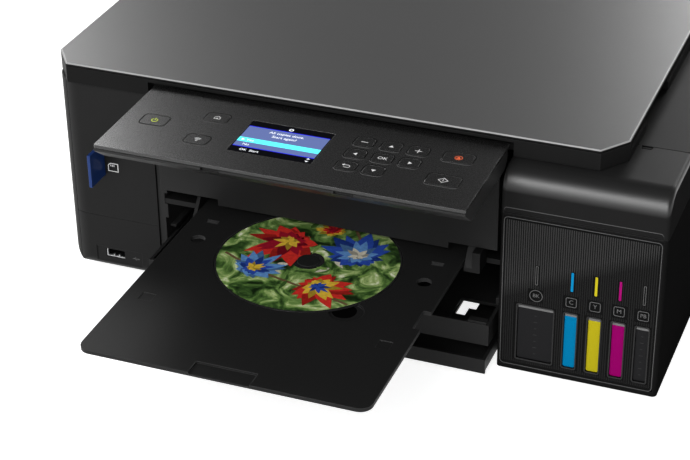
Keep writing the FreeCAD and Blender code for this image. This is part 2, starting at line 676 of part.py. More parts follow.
LUGS = {"left": "panel_left + panel_lug_inset",
        "right": "panel_right - panel_lug_inset - panel_lug_width"}


def disc_tray_guides():
    """At each side a sloped guide and a ledge that steer the disc tray, fixed to the inner walls."""
    low, high = "tray_low - guide_drop", "tray_level + guide_rise"
    back = "front + guide_back"
    left_edge, right_edge = "tray_left - play", "tray_right + play"
    left_far = "%s - left_guide_share * (%s - opening_left)" % (left_edge, left_edge)
    right_far = "%s + right_guide_share * (opening_right - (%s))" % (right_edge, right_edge)
    right_mid = "%s + right_guide_share / 2 * (opening_right - (%s))" % (right_edge, right_edge)

    def slope(name, x, start):
        points = [(start, low), (back, low), (back, high), (back + " - 9", high), (start, "tray_low - 1")]
        return prism(name, "YZ_Plane", points, x[0], "(%s) - (%s)" % (x[1], x[0]))

    def ledge(name, x):
        return block(name, x, (back + " - 3", back + " + 33"), (low, "tray_low - seam"))

    left = [slope("left_slope", (left_far, left_edge), "front + guide_start"),
            ledge("left_ledge", ("opening_left", "tray_left + 8"))]
    right = [slope("right_slope", (right_edge, right_mid), "front + right_guide_start"),
             block("right_post", (right_mid, right_far), ("front + right_guide_start", back), (low, high)),
             ledge("right_ledge", ("tray_right - 8", "opening_right"))]
    node(group("disc_tray_guides", [fuse("left_guide", left), fuse("right_guide", right)]))


# ------------------------------------------------------------------ disc tray and disc
def disc_tray():
    """Flat tray with a seat and hub for the disc, sight holes, marks, a grip and a side notch."""
    x = ("tray_left", "tray_right")
    y = ("tray_front", "tray_front + tray_length")
    body = prism("disc_tray_blank", "XY_Plane", box_points(x, y), "tray_low", "tray_thickness")
    dress(body, "Fillet", "tray_corner",
          lambda middle, way: abs(way.z) > 1 and middle.y < number("tray_front") + 1)
    top = ("tray_level - disc_seat", "tray_level + 1")
    through = ("tray_low - 1", "tray_level + 1")
    tools = [
        rod("disc_seat_cut", "z", "disc_radius + disc_gap", "disc_x", "disc_y", top),
        rod("finger_cut", "z", "11", "disc_x + 44", "disc_y - 47", ("tray_level - 1.6", "tray_level + 1")),
        block("grip_cut", ("disc_x - 19.5", "disc_x + 19.5"), ("tray_front - 1", "tray_front + 12"),
              ("tray_level - 1.2", "tray_level + 1")),
        block("side_notch", ("tray_right - 5", "tray_right + 1"), ("disc_y - 50.8", "disc_y - 30.2"),
              through),
    ]
    for name, side in (("left", "-"), ("right", "+")):
        tools.append(rod(name + "_sight_hole", "z", "4.8", "disc_x %s 77.7" % side, "disc_y + 1", through))
        inner, outer = "disc_x %s 74" % side, "disc_x %s 82.5" % side
        span = (outer, inner) if side == "-" else (inner, outer)
        tools.append(block(name + "_mark", span, ("disc_y - 77.5", "disc_y - 69"),
                           ("tray_level - 0.4", "tray_level + 1")))
        tools.append(block(name + "_slot", span, ("disc_y + 22.5", "disc_y + 26.5"),
                           ("tray_level - 0.8", "tray_level + 1")))
    hub = rod("tray_hub", "z", "disc_hole - hub_play", "disc_x", "disc_y",
              ("tray_low", "disc_low + disc_thickness + 0.3"))
    node(fuse("disc_tray", [cut("disc_tray_cut", body, tools), hub]))


def disc():
    plate = rod("disc_plate", "z", "disc_radius", "disc_x", "disc_y",
                ("disc_low", "disc_low + disc_thickness"))
    hole = rod("disc_hole_cut", "z", "disc_hole", "disc_x", "disc_y",
               ("disc_low - 1", "disc_low + disc_thickness + 1"))
    node(cut("disc", plate, [hole]))


# ------------------------------------------------------------------ paper trays
def tray_box(label, x, y, low, height, floor, extra=(), holes=()):
    """An open-topped tray: a block less its inside, with more pieces and holes where given."""
    outer = block(label + "_outer", x, y, (low, "%s + %s" % (low, height)))
    inner = block(label + "_inner", (x[0] + " + cassette_wall", x[1] + " - cassette_wall"),
                  (y[0] + " + cassette_wall", y[1] + " - cassette_wall"),
                  ("%s + %s" % (low, floor), "%s + %s + 1" % (low, height)))
    hollow = cut(label + "_hollow", outer, [inner, *holes])
    return fuse(label, [hollow, *extra]) if extra else hollow


def main_cassette():
    front, low = "front - cassette_proud", "cassette_low"
    apron = block("cassette_apron", ("cassette_left", "cassette_right"),
                  (front, front + " + cassette_wall"), ("floor_gap", "cassette_low + 2"))
    x = ("cassette_right - 38.6", "cassette_right - 26.6")
    window = [
        block("cassette_window_a", (x[0], x[1] + " - 5"), ("front + 44", "front + 65"), ("0", low + " + 5")),
        block("cassette_window_b", x, ("front + 53", "front + 65"), ("0", low + " + 5")),
    ]
    guide = block("paper_guide_a", ("cassette_left + 8", "cassette_left + 10"),
                  ("front + 110", "front + 190"), (low + " + 1", "floor_gap + cassette_height"))
    node(tray_box("main_cassette", ("cassette_left", "cassette_right"),
                  (front, front + " + cassette_length"), low,
                  "cassette_height - rail_thickness - seam",
                  "cassette_floor", [apron, guide], window))


def upper_cassette():
    y = ("front - upper_cassette_back", "front - upper_cassette_back + upper_cassette_length")
    low = "upper_cassette_level"
    window = block("upper_window", ("cassette_right - 33", "cassette_right - 6"),
                   ("front + 4", "front + 40"), (low + " - 1", low + " + 5"))
    tab = block("upper_tab", ("cassette_right - 14", "cassette_right - 2"),
                ("front - upper_cassette_back + 1", "front - upper_cassette_back + 6"),
                (low + " + 1", low + " + upper_cassette_height + 1.2"))
    node(tray_box("upper_cassette", ("cassette_left", "cassette_right"), y, low,
                  "upper_cassette_height", "cassette_floor", [tab], [window]))


def output_tray():
    x = ("output_left", "output_right")
    y = ("front + output_tray_back", "front + output_tray_back + output_tray_length")
    plate = block("output_plate", x, y, ("output_tray_level", "output_tray_level + cassette_wall"))
    lip = block("output_lip", x, (y[0], y[0] + " + cassette_wall"),
                ("output_tray_level", "output_tray_level + output_tray_lip"))
    grip = block("output_grip", ("disc_x - 25", "disc_x + 25"), (y[0] + " - 1", y[0] + " + 14"),
                 ("output_tray_level - 1", "output_tray_level + cassette_wall + 0.1"))
    node(cut("output_tray", fuse("output_blank", [plate, lip]), [grip]))


# ------------------------------------------------------------------ control panel
def key_body(key, name, margin, low, height):
    """A rounded block about one key's centre, wider than the key by the margin on each side."""
    x, y = "display_x + %s_x" % key, "display_y + %s_y" % key
    half_x = "(%s_length / 2 + %s)" % (key, margin)
    half_y = "(%s_depth / 2 + %s)" % (key, margin)
    corners = box_points((x + " - " + half_x, x + " + " + half_x),
                         (y + " - " + half_y, y + " + " + half_y))
    body = prism(name, "XY_Plane", corners, low, height)
    return dress(body, "Fillet", "key_corner + " + margin, lambda middle, way: abs(way.z) > 1)


def key_wells():
    """What is cut from the plate and the housing around every key, down to its travel."""
    return [key_body(key, key + "_well", "key_gap", "plate_low - key_sink - key_travel - play",
                     "key_sink + key_travel + play + panel_plate + 1") for key in KEYS]


def display_box(name, margin, low, high):
    half_x, half_y = "display_length / 2 + " + margin, "display_depth / 2 + " + margin
    return block(name, ("display_x - (%s)" % half_x, "display_x + " + half_x),
                 ("display_y - (%s)" % half_y, "display_y + " + half_y), (low, high))


def panel_plate(wells):
    body = prism("panel_plate_blank", "XY_Plane",
                 box_points(("panel_left", "panel_right"), ("panel_front", "panel_back")),
                 "plate_low", "panel_plate")
    dress(body, "Fillet", "edge_round", lambda middle, way: abs(way.z) > 1)
    window = display_box("display_plate_hole", "key_gap", "plate_low - 1", "panel_top + 1")
    node(cut("panel_plate", body, [*wells, window]))


def panel_housing(wells):
    """Bevelled lower half of the panel, with key wells, and bearings about the two lugs."""
    front, groove = "panel_front", "panel_groove"
    profile = [
        (front, "plate_low - panel_groove"), (front, "plate_low - 2.2"),
        (front + " + panel_bevel", "panel_low"), ("panel_axis_y + panel_round", "panel_low"),
        ("panel_axis_y + panel_round", "plate_low"), (front + " + " + groove, "plate_low"),
        (front + " + " + groove, "plate_low - panel_groove"),
    ]
    body = prism("panel_housing_blank", "YZ_Plane", profile, "panel_left",
                 "panel_right - panel_left")
    rear = number("panel_axis_y + panel_round")
    low = number("panel_low")
    dress(body, "Fillet", "panel_round - 0.05",
          lambda middle, way: same(middle.y, rear) and same(middle.z, low))
    tools = [*wells, display_box("display_well", "key_gap", "plate_low - display_seat", "panel_top")]
    for side, x in LUGS.items():
        tools.append(block(side + "_lug_notch", (x + " - play", x + " + panel_lug_width + play"),
                           ("panel_axis_y - panel_lug_radius - 1", "panel_back"),
                           ("panel_low - 1", "panel_axis_z + panel_lug_radius + 0.4")))
        tools.append(rod(side + "_panel_bore", "x", "panel_pin + hinge_fit",
                         (x + " - panel_pin_length - play",
                          x + " + panel_lug_width + panel_pin_length + play"),
                         "panel_axis_y", "panel_axis_z"))
    for index, x in enumerate(("panel_left + latch_inset", "panel_left + latch_inset + latch_pitch")):
        tools.append(block("latch_notch_%d" % index, (x, x + " + latch_width"),
                           ("panel_front - 1", "panel_front + 3"),
                           ("plate_low - 3.2", "plate_low - panel_groove")))
    node(cut("panel_housing", body, tools))


def display():
    node(display_box("display", "0", "plate_low - display_seat", "panel_top - display_sink"))


def keys():
    """The thirteen keys: each a cap with rounded corners in its own well."""
    for key in KEYS:
        node(key_body(key, key, "0", "plate_low - key_sink", "panel_plate + key_sink + key_proud"))


# ------------------------------------------------------------------ scanner unit
def slab(label, low, height, back_y):
    """The scanner's outline, with its two cut front corners, padded up from a height."""
    points = [
        ("left", "scanner_front + corner_cut_y"), ("left + corner_cut_x", "scanner_front"),
        ("scanner_right - corner_cut_x", "scanner_front"),
        ("scanner_right", "scanner_front + corner_cut_y"), ("scanner_right", back_y),
        ("left", back_y),
    ]
    return prism(label, "XY_Plane", points, low, height)


def knuckles():
    return {"left": "left + knuckle_inset", "right": "scanner_right - knuckle_inset - knuckle_width"}


def scanner_base():
    """Hollow box with a sunk bed for the glass, a deeper pan, lid ears and rear hinge lugs."""
    rim = slab("scanner_rim", "slab_bottom", "rim_height", "back")
    pan = block("scanner_pan", ("pan_left", "pan_right"), ("pan_y", "pan_back"),
                ("pan_bottom", "slab_bottom + 1"))
    body = fuse("scanner_blank", [rim, pan])
    glass_x, glass_y = GLASS
    tools = [
        block("bed", ("left + rim_width", "scanner_right - rim_width"),
              ("scanner_front + rim_width", "lid_axis_y - lid_barrel - 4.5"), ("bed_top", "body_height")),
        block("scan_cavity", ("pan_left + 2", "pan_right - 2"), ("pan_y + 2", "pan_back - 2"),
              ("pan_bottom + 2", "bed_top - bezel")),
        block("glass_seat", glass_x, glass_y, ("bed_top - glass_thickness", "body_height")),
        block("glass_window", (glass_x[0] + " + 3", glass_x[1] + " - 3"),
              (glass_y[0] + " + 3", glass_y[1] + " - 3"), ("bed_top - bezel - 1", "body_height")),
        block("lid_hinge_step", ("left - 1", "scanner_right + 1"),
              ("lid_axis_y - lid_barrel - 2", "back + 1"), ("lid_axis_z - lid_barrel - 0.6", "body_height")),
        block("panel_recess", ("panel_left - 5.8", "tank_left + 1.9"),
              ("scanner_front - 1", "scanner_front + panel_recess_depth"),
              ("slab_bottom - 1", "slab_bottom + panel_recess_height")),
    ]
    grip_y = ("front + finger_recess_start", "front + finger_recess_start + finger_recess_length")
    grip_z = ("slab_bottom - 1", "slab_bottom + finger_recess_height")
    tools.append(block("right_grip", ("scanner_right - finger_recess_depth", "scanner_right + 1"),
                       grip_y, grip_z))
    tools.append(block("left_grip", ("left - 1", "left + finger_recess_depth"), grip_y, grip_z))
    groove_y = ("scanner_front + corner_cut_y + side_groove_start", "back + 1")
    groove_z = ("slab_bottom + side_groove_rise", "body_height")
    tools.append(block("right_groove", ("scanner_right - side_groove", "scanner_right + 1"),
                       groove_y, groove_z))
    tools.append(block("left_groove", ("left - 1", "left + side_groove"), groove_y, groove_z))
    step_y = (grip_y[0] + " - 1", grip_y[0] + " + grip_step")
    step_z = ("slab_bottom", "slab_bottom + grip_step")
    extra = [block("right_step", ("scanner_right - finger_recess_depth", "scanner_right - seam"),
                   step_y, step_z),
             block("left_step", ("left + seam", "left + finger_recess_depth"), step_y, step_z)]
    for side, x in knuckles().items():
        span = (x, x + " + knuckle_width")
        extra.append(block(side + "_lid_ear", span, ("lid_axis_y - lid_barrel", "lid_axis_y + lid_barrel"),
                           ("lid_axis_z - lid_barrel - 1", "lid_axis_z")))
        extra.append(rod(side + "_lid_ear_round", "x", "lid_barrel", span, "lid_axis_y", "lid_axis_z"))
        extra.append(rod(side + "_lid_pin", "x", "hinge_pin", (x + " - 5", x + " + knuckle_width + 5"),
                         "lid_axis_y", "lid_axis_z"))
    for side in LIFT_SIDES:
        x = lift_x(side)
        span = (x + " - 7", x + " + 7")
        extra.append(block(side + "_lift_lug", span, ("lift_axis_y - 1.8", "lift_axis_y + 1.8"),
                           ("lift_axis_z", "slab_bottom + 1")))
        extra.append(rod(side + "_lift_round", "x", "1.8", span, "lift_axis_y", "lift_axis_z"))
        extra.append(rod(side + "_lift_pin", "x", "hinge_pin", (x + " - 12", x + " + 12"),
                         "lift_axis_y", "lift_axis_z"))
    node(fuse("scanner_base", [cut("scanner_cut", body, tools), *extra]))


GLASS = (("pan_left + 8", "pan_left + 8 + glass_length"), ("pan_y + 12", "pan_y + 12 + glass_width"))


def scanner_glass():
    glass_x, glass_y = GLASS
    node(block("scanner_glass", (glass_x[0] + " + seam", glass_x[1] + " - seam"),
               (glass_y[0] + " + seam", glass_y[1] + " - seam"), ("bed_top - glass_thickness", "bed_top")))


def scan_bar():
    """Long sensor bar on a runner, under the glass, parked at the left."""
    low = "pan_bottom + 2 + seam"
    x = ("pan_left + 2.5", "pan_left + 2.5 + scan_bar_width")
    bar = block("scan_bar_body", x, ("pan_y + 6", "pan_back - 28"), (low, low + " + scan_bar_height"))
    groove = block("scan_bar_window", (x[0] + " + 8", x[1] + " - 8"), ("pan_y + 10", "pan_back - 32"),
                   (low + " + scan_bar_height - 1", low + " + scan_bar_height + 1"))
    node(cut("scan_bar", bar, [groove]))


def scanner_lid():
    """Thin lid with a rim on its underside for the pad, and a barrel along its rear edge."""
    top = slab("lid_blank", "body_height - lid_edge", "lid_edge", "lid_axis_y")
    high = number("body_height")
    dress(top, "Fillet", "edge_round",
          lambda middle, way: same(middle.z, high) and middle.y < number("lid_axis_y") - 1)
    ring_x = ("left + rim_width + 2", "scanner_right - rim_width - 2")
    ring_y = ("scanner_front + rim_width + 2", "lid_axis_y - 16")
    rim = block("lid_rim", ring_x, ring_y, ("bed_top + 1.2", "body_height - lid_edge"))
    hollow = block("lid_rim_hollow", (ring_x[0] + " + 2", ring_x[1] + " - 2"),
                   (ring_y[0] + " + 2", ring_y[1] + " - 2"), ("bed_top", "body_height - lid_edge"))
    barrel = rod("lid_barrel_rod", "x", "lid_barrel", ("left", "scanner_right"), "lid_axis_y",
                 "lid_axis_z")
    body = fuse("lid_body", [top, cut("lid_ring", rim, [hollow]), barrel])
    tools = []
    for side, x in knuckles().items():
        tools.append(block(side + "_knuckle_gap", (x + " - play", x + " + knuckle_width + play"),
                           ("lid_axis_y - lid_barrel - 1.2", "back"),
                           ("lid_axis_z - lid_barrel - 1", "body_height + 1")))
        tools.append(rod(side + "_lid_bore", "x", "hinge_pin + hinge_fit",
                         (x + " - 6", x + " + knuckle_width + 6"), "lid_axis_y", "lid_axis_z"))
    node(cut("scanner_lid", body, tools))


def lid_pad():
    node(block("lid_pad", ("left + rim_width + 4 + seam", "scanner_right - rim_width - 4 - seam"),
               ("scanner_front + rim_width + 4 + seam", "lid_axis_y - 18 - seam"),
               ("body_height - lid_edge - lid_pad_thickness", "body_height - lid_edge")))


# ------------------------------------------------------------------ ink-tank unit
def tank_housing():
    """Open-topped shell at the right, its front open for the window panel."""
    body = prism("tank_shell", "XY_Plane", box_points(("tank_left", "right"), ("front", "inner_back")),
                 "floor_gap", "deck_top - wall - seam - floor_gap")
    dress(body, "Fillet", "tank_side_round",
          lambda middle, way: abs(way.z) > 1 and same(middle.y, number("front")))
    high = number("deck_top - wall - seam")
    shell(body, "wall", lambda centre, box: same(box.ZMin, high) or same(box.YMin, number("inner_back")))
    tools = [
        block("panel_opening", ("tank_left + tank_panel_left - seam", "right - tank_panel_right + seam"),
              ("front - 1", "front + wall + 0.1"), ("tank_panel_low - seam", "tank_panel_top + seam")),
        block("cover_space", ("tank_left - 1", "right + 1"), ("front - 1", "cover_back + cover_gap"),
              ("tank_seam_height - seam", "body_height")),
        block("mechanism_space", ("tank_left - 1", "tank_left + wall + 1"),
              ("front + high_wall_depth", "back"), ("low_wall_height", "body_height")),
        block("deck_step", ("tank_left - 1", "tank_left + wall + 1"),
              ("cover_back", "back"), ("deck_height - seam", "body_height")),
        rod("housing_feed_hole", "x", "feed_shaft + 1", ("tank_left - 1", "tank_left + 6"),
            "feed_axis_y", "feed_axis_z"),
        rod("housing_exit_hole", "x", "exit_shaft + 1", ("tank_left - 1", "tank_left + 6"),
            "exit_axis_y", "exit_axis_z"),
    ]
    node(cut("tank_housing", body, tools))


COLOURS = ("cyan", "yellow", "magenta", "photo_black")


def tanks():
    """Name, middle, window width and tank width of each ink tank, left to right."""
    rows = [("black", "tank_left + black_tank_x", "black_window", "black_tank_width")]
    for index, colour in enumerate(COLOURS):
        middle = "tank_left + colour_tank_x + %d * tank_pitch" % index
        rows.append((colour, middle, "colour_window", "colour_tank_width"))
    return rows


def tank_front_panel():
    """Flat plate with five windows and a rounded outline."""
    body = prism("tank_panel_blank", "XZ_Plane",
                 box_points(("tank_left + tank_panel_left", "right - tank_panel_right"),
                            ("tank_panel_low", "tank_panel_top")), "front", "wall")
    dress(body, "Fillet", "tank_side_round",
          lambda middle, way: abs(way.y) > 1 and middle.z < number("tank_panel_low") + 1)
    holes = []
    for name, middle, window, _ in tanks():
        holes.append(block(name + "_window", (middle + " - %s / 2" % window, middle + " + %s / 2" % window),
                           ("front - 1", "front + wall + 1"), ("window_low", "window_top")))
    node(cut("tank_front_panel", body, holes))


def ink_tanks():
    """Five closed tanks side by side, each with a filler neck."""
    pieces = []
    for name, middle, _, width in tanks():
        x = (middle + " - %s / 2" % width, middle + " + %s / 2" % width)
        y = ("ink_front", "front + tank_back")
        outer = block(name + "_tank_outer", x, y, ("body_floor", "ink_top"))
        neck = rod(name + "_neck", "z", "neck_radius", middle, "front + neck_y", ("ink_top - 1", "neck_top"))
        inside = block(name + "_tank_inside", (x[0] + " + tank_skin", x[1] + " - tank_skin"),
                       (y[0] + " + tank_skin", y[1] + " - tank_skin"),
                       ("body_floor + tank_skin", "ink_top - tank_skin"))
        bore = rod(name + "_neck_bore", "z", "neck_bore", middle, "front + neck_y",
                   ("ink_top - tank_skin - 1", "neck_top + 1"))
        pieces.append(cut(name + "_tank", fuse(name + "_tank_blank", [outer, neck]), [inside, bore]))
    node(group("ink_tanks", pieces))


def tank_caps():
    for name, middle, _, _ in tanks():
        head = rod(name + "_cap_head", "z", "cap_radius", middle, "front + neck_y",
                   ("neck_top + seam", "neck_top + seam + cap_height"))
        plug = rod(name + "_cap_plug", "z", "neck_bore - 0.1", middle, "front + neck_y",
                   ("neck_top + seam - cap_plug", "neck_top + seam + 1"))
        grip = block(name + "_cap_grip", (middle + " - 1.2", middle + " + 1.2"),
                     ("front + neck_y - cap_radius + 1", "front + neck_y + cap_radius - 1"),
                     ("neck_top + seam + cap_height - 1", "neck_top + seam + cap_height + 4"))
        node(fuse(name + "_ink_cap", [head, plug, grip]))


def tank_cover():
    """Curved cover over the filler necks, hinged on two pins near its rear edge."""
    y = ("front", "cover_back")
    body = prism("tank_cover_blank", "YZ_Plane", box_points(y, ("tank_seam_height", "deck_top")),
                 "tank_left", "tank_width")
    front, top = number("front"), number("deck_top")
    dress(body, "Fillet", "tank_cover_round",
          lambda middle, way: same(middle.y, front) and same(middle.z, top))
    left, right = number("tank_left"), number("right")
    dress(body, "Fillet", "tank_side_round",
          lambda middle, way: (same(middle.x, left) or same(middle.x, right))
          and (same(middle.z, top) or middle.y < front + number("tank_cover_round"))
          and middle.z > number("tank_seam_height") + 1)
    low = number("tank_seam_height")
    rear = number(y[1])
    shell(body, "wall", lambda centre, box: same(box.ZMax, low) or same(box.YMin, rear))
    groove = block("cover_grip", ("tank_left + tank_panel_left", "right - tank_panel_right"),
                   ("front - 1", "front + 1.4"), ("tank_seam_height + 0.4", "tank_seam_height + 4.2"))
    tools, pins = [groove], []
    for side, x in COVER_LUGS.items():
        tools.append(block(side + "_cover_notch", (x + " - play", x + " + cover_lug_width + play"),
                           ("cover_axis_y - cover_lug_radius - play", "cover_back + 1"),
                           ("deck_top - wall - 1", "deck_top + 1")))
        pins.append(rod(side + "_cover_pin", "x", "cover_pin", (x + " - 2", x + " + cover_lug_width + 2"),
                        "cover_axis_y", "cover_axis_z"))
    node(fuse("tank_cover", [cut("tank_cover_cut", body, tools), *pins]))


COVER_LUGS = {"left": "tank_left + 8", "right": "scanner_right + 3"}


def tank_rear_top_cover():
    """Fixed top behind the hinged cover, stepped down under the scanner, with two hinge lugs."""
    start = "cover_back + cover_gap"
    step = "pan_right + 4"
    top = ("deck_top - wall", "deck_top")
    pieces = [
        block("rear_top_plate", (step, "right"), (start, "inner_back"), top),
        block("rear_top_skirt", (step, step + " + wall"), (start, "inner_back"), ("deck_height", "deck_top")),
        block("rear_top_wall", ("tank_left", step + " + wall"), (start, start + " + wall"),
              ("deck_height", "deck_top")),
        block("rear_top_deck", ("tank_left", step + " + wall"), (start, "inner_back - wall - seam"),
              ("deck_height", "deck_height + wall")),
        block("right_wall_plate", (step, "right - wall - seam"), (start, start + " + wall"),
              ("deck_height", "deck_top")),
    ]
    bores = []
    for side, near in COVER_LUGS.items():
        x = (near, near + " + cover_lug_width")
        pieces.append(block(side + "_cover_lug", x, ("cover_axis_y", start + " + wall"),
                            ("cover_axis_z - cover_lug_radius", "cover_axis_z")))
        pieces.append(rod(side + "_cover_lug_round", "x", "cover_lug_radius", x, "cover_axis_y",
                          "cover_axis_z"))
        bores.append(rod(side + "_cover_bore", "x", "cover_pin + hinge_fit", (x[0] + " - 1", x[1] + " + 1"),
                         "cover_axis_y", "cover_axis_z"))
    node(cut("tank_rear_top_cover", fuse("rear_top_blank", pieces), bores))


# ------------------------------------------------------------------ mechanism
def chassis_frame():
    """Sheet-metal side plates and beams, with the carriage's guide flange and belt post."""
    y = ("chassis_y", "chassis_back")
    x = ("chassis_x", "chassis_end")
    high = ("chassis_low", "chassis_top")
    pieces = [
        block("chassis_left_plate", (x[0], x[0] + " + sheet"), y, high),
        block("chassis_right_plate", (x[1] + " - sheet", x[1]), y, high),
        block("chassis_rear_beam", x, (y[1] + " - sheet", y[1]), ("tray_level + 4", "chassis_top")),
        block("chassis_front_beam", x, (y[0], y[0] + " + sheet"), ("chassis_top - 16", "chassis_top")),
        block("carriage_guide", x, (y[1] + " - guide_depth", y[1]), ("guide_height", "guide_height + sheet")),
        rod("belt_post", "z", "pulley_radius", "belt_x_left", "belt_mid_y",
            ("guide_height + 1", "belt_height + belt_width + 1")),
    ]
    holes = [
        rod("pulley_shaft_hole", "z", "motor_shaft + hinge_fit", "belt_x_right", "belt_mid_y",
            ("guide_height - 1", "guide_height + sheet + 1")),
        block("left_plate_window", (x[0] + " - 1", x[0] + " + sheet + 1"), (y[0] + " + 20", y[1] + " - 30"),
              ("chassis_low + 20", "chassis_low + 50")),
        block("right_plate_window", (x[1] + " - sheet - 1", x[1] + " + 1"), (y[0] + " + 20", y[1] + " - 30"),
              ("chassis_low + 20", "chassis_low + 50")),
    ]
    node(cut("chassis_frame", fuse("chassis_blank", pieces), holes))


def carriage():
    """Print-head carriage that hooks over the guide flange and takes hold of the belt."""
    x0 = "tank_left + carriage_home"
    x = (x0, x0 + " + carriage_width")
    y0 = "front + carriage_front"
    y = (y0, y0 + " + carriage_depth - 2")
    low = "carriage_low"
    pieces = [
        block("carriage_body", x, y, (low, "carriage_top")),
        block("print_head", (x0 + " + 22", x0 + " + 62"), (y0 + " + 28", y0 + " + 78"),
              (low + " - nozzle_drop", low + " + 1")),
        block("carriage_hook", (x0 + " + 8", x0 + " + 60"), (y[1] + " - 1", "belt_mid_y + 4"),
              ("guide_height + sheet + 0.4", "belt_height - 0.6")),
        block("tube_connector", (x0 + " + tube_entry", x0 + " + tube_entry + 6"),
              (y0 + " + 12", y0 + " + 32"),
              ("carriage_top - 1", "tube_height - tube_radius - seam")),
        block("belt_clamp", (x0 + " + 36", x0 + " + 48"),
              (y[1] + " - 1", "belt_mid_y - pulley_radius - belt_thickness - 0.6"),
              ("belt_height - 2", "belt_height + belt_width + 2")),
    ]
    hollows = [block("cartridge_bay_%d" % index,
                     (x0 + " + bay_margin + %d * bay_pitch" % index,
                      x0 + " + (%d + 1) * bay_pitch" % index),
                     (y0 + " + 34", y[1] + " - 6"), (low + " + 8", "carriage_top + 1"))
               for index in range(5)]
    node(cut("carriage", fuse("carriage_blank", pieces), hollows))


def belt_loop(first, first_radius, second, second_radius, thickness, width):
    """A flat belt round two round drums in the XY plane, of the drums' own radii inside."""
    def loop(extra):
        (ax, ay), (bx, by) = first, second
        ra, rb = first_radius + extra, second_radius + extra
        span = math.hypot(bx - ax, by - ay)
        heading = math.atan2(by - ay, bx - ax)
        lean = math.acos((ra - rb) / span)
        def spot(cx, cy, radius, angle):
            return FreeCAD.Vector(cx + radius * math.cos(angle), cy + radius * math.sin(angle), 0)
        up, down = heading + lean, heading - lean
        edges = [
            Part.LineSegment(spot(ax, ay, ra, up), spot(bx, by, rb, up)).toShape(),
            Part.Arc(spot(bx, by, rb, up), spot(bx, by, rb, heading), spot(bx, by, rb, down)).toShape(),
            Part.LineSegment(spot(bx, by, rb, down), spot(ax, ay, ra, down)).toShape(),
            Part.Arc(spot(ax, ay, ra, down), spot(ax, ay, ra, heading + math.pi),
                     spot(ax, ay, ra, up)).toShape(),
        ]
        return Part.Face(Part.Wire(edges)).extrude(FreeCAD.Vector(0, 0, width))
    return loop(thickness).cut(loop(0))


def drive_belts():
    """The carriage's toothed belt, and the belt between the two paper rollers."""
    gap = number("seam")
    carriage_belt = belt_loop((number("belt_x_left"), 0), number("pulley_radius") + gap,
                              (number("belt_x_right"), 0), number("pulley_radius") + gap,
                              number("belt_thickness"), number("belt_width"))
    carriage_belt.translate(FreeCAD.Vector(0, number("belt_mid_y"), number("belt_height")))
    roller_belt = belt_loop((number("feed_axis_y"), number("feed_axis_z")), number("feed_pulley") + gap,
                            (number("exit_axis_y"), number("exit_axis_z")), number("exit_pulley") + gap,
                            number("belt_thickness"), number("roller_pulley_width - 2"))
    # the loop is drawn in XY: turn it so that its plane is YZ and its width runs along X
    turn = FreeCAD.Rotation(FreeCAD.Vector(1, 1, 1), 120)
    roller_belt = roller_belt.transformGeometry(FreeCAD.Placement(FreeCAD.Vector(), turn).toMatrix())
    roller_belt.translate(FreeCAD.Vector(number("roller_left + 1"), 0, 0))
    node(shape_part("drive_belts", Part.makeCompound([carriage_belt, roller_belt])))


def belt_pulley():
    pulley = rod("pulley_drum", "z", "pulley_radius", "belt_x_right", "belt_mid_y",
                 ("belt_height - 1", "belt_height + belt_width + 1"))
    shaft = rod("pulley_shaft", "z", "motor_shaft", "belt_x_right", "belt_mid_y",
                ("guide_height - 6", "belt_height"))
    node(fuse("belt_pulley", [pulley, shaft]))


def drive_motors():
    """Carriage motor under the guide flange, and the paper-feed motor on the roller's end."""
    can = rod("carriage_motor", "z", "motor_radius", "belt_x_right", "belt_mid_y",
              ("guide_height - 27", "guide_height - seam"))
    socket = rod("motor_socket", "z", "motor_shaft + hinge_fit", "belt_x_right", "belt_mid_y",
                 ("guide_height - 7", "guide_height"))
    feed = rod("feed_motor", "x", "feed_pulley",
               ("roller_left - feed_motor_length - seam", "roller_left - seam"),
               "feed_axis_y", "feed_axis_z")
    foot = block("feed_motor_foot", ("roller_left - feed_motor_length - seam", "roller_left - seam - 2"),
                 ("feed_axis_y - feed_pulley / 2", "feed_axis_y + feed_pulley / 2"),
                 ("chassis_low", "feed_axis_z - feed_pulley / 2"))
    feed_socket = rod("feed_socket", "x", "feed_shaft + hinge_fit", ("roller_left - 9", "roller_left"),
                      "feed_axis_y", "feed_axis_z")
    node(group("drive_motors", [cut("carriage_motor_body", can, [socket]),
                                cut("feed_motor_body", fuse("feed_motor_blank", [feed, foot]),
                                    [feed_socket])]))


def roller(label, radius, shaft, pulley, axis_y, axis_z, shaft_start):
    pieces = [
        rod(label + "_sleeve", "x", radius, ("opening_left + play", "opening_right - play"), axis_y, axis_z),
        rod(label + "_shaft", "x", shaft, (shaft_start, "tank_left + 3"), axis_y, axis_z),
        rod(label + "_pulley", "x", pulley, ("roller_left", "roller_left + roller_pulley_width"),
            axis_y, axis_z),
    ]
    node(fuse(label, pieces))


def platen():
    """Ribbed table under the print head."""
    x = ("opening_left + seam", "opening_right - seam")
    y = ("front + 150", "front + 225")
    table = block("platen_table", x, y, ("tray_low - 9", "tray_low - 2"))
    ribs = []
    for index in range(-5, 6):
        rib_x = "disc_x + %d * platen_rib_share * (opening_right - opening_left)" % index
        ribs.append(block("platen_rib_%d" % (index + 5), (rib_x + " - 1", rib_x + " + 1"), y,
                          ("tray_low - 3", "tray_low - roller_drop")))
    node(fuse("platen", [table, *ribs]))


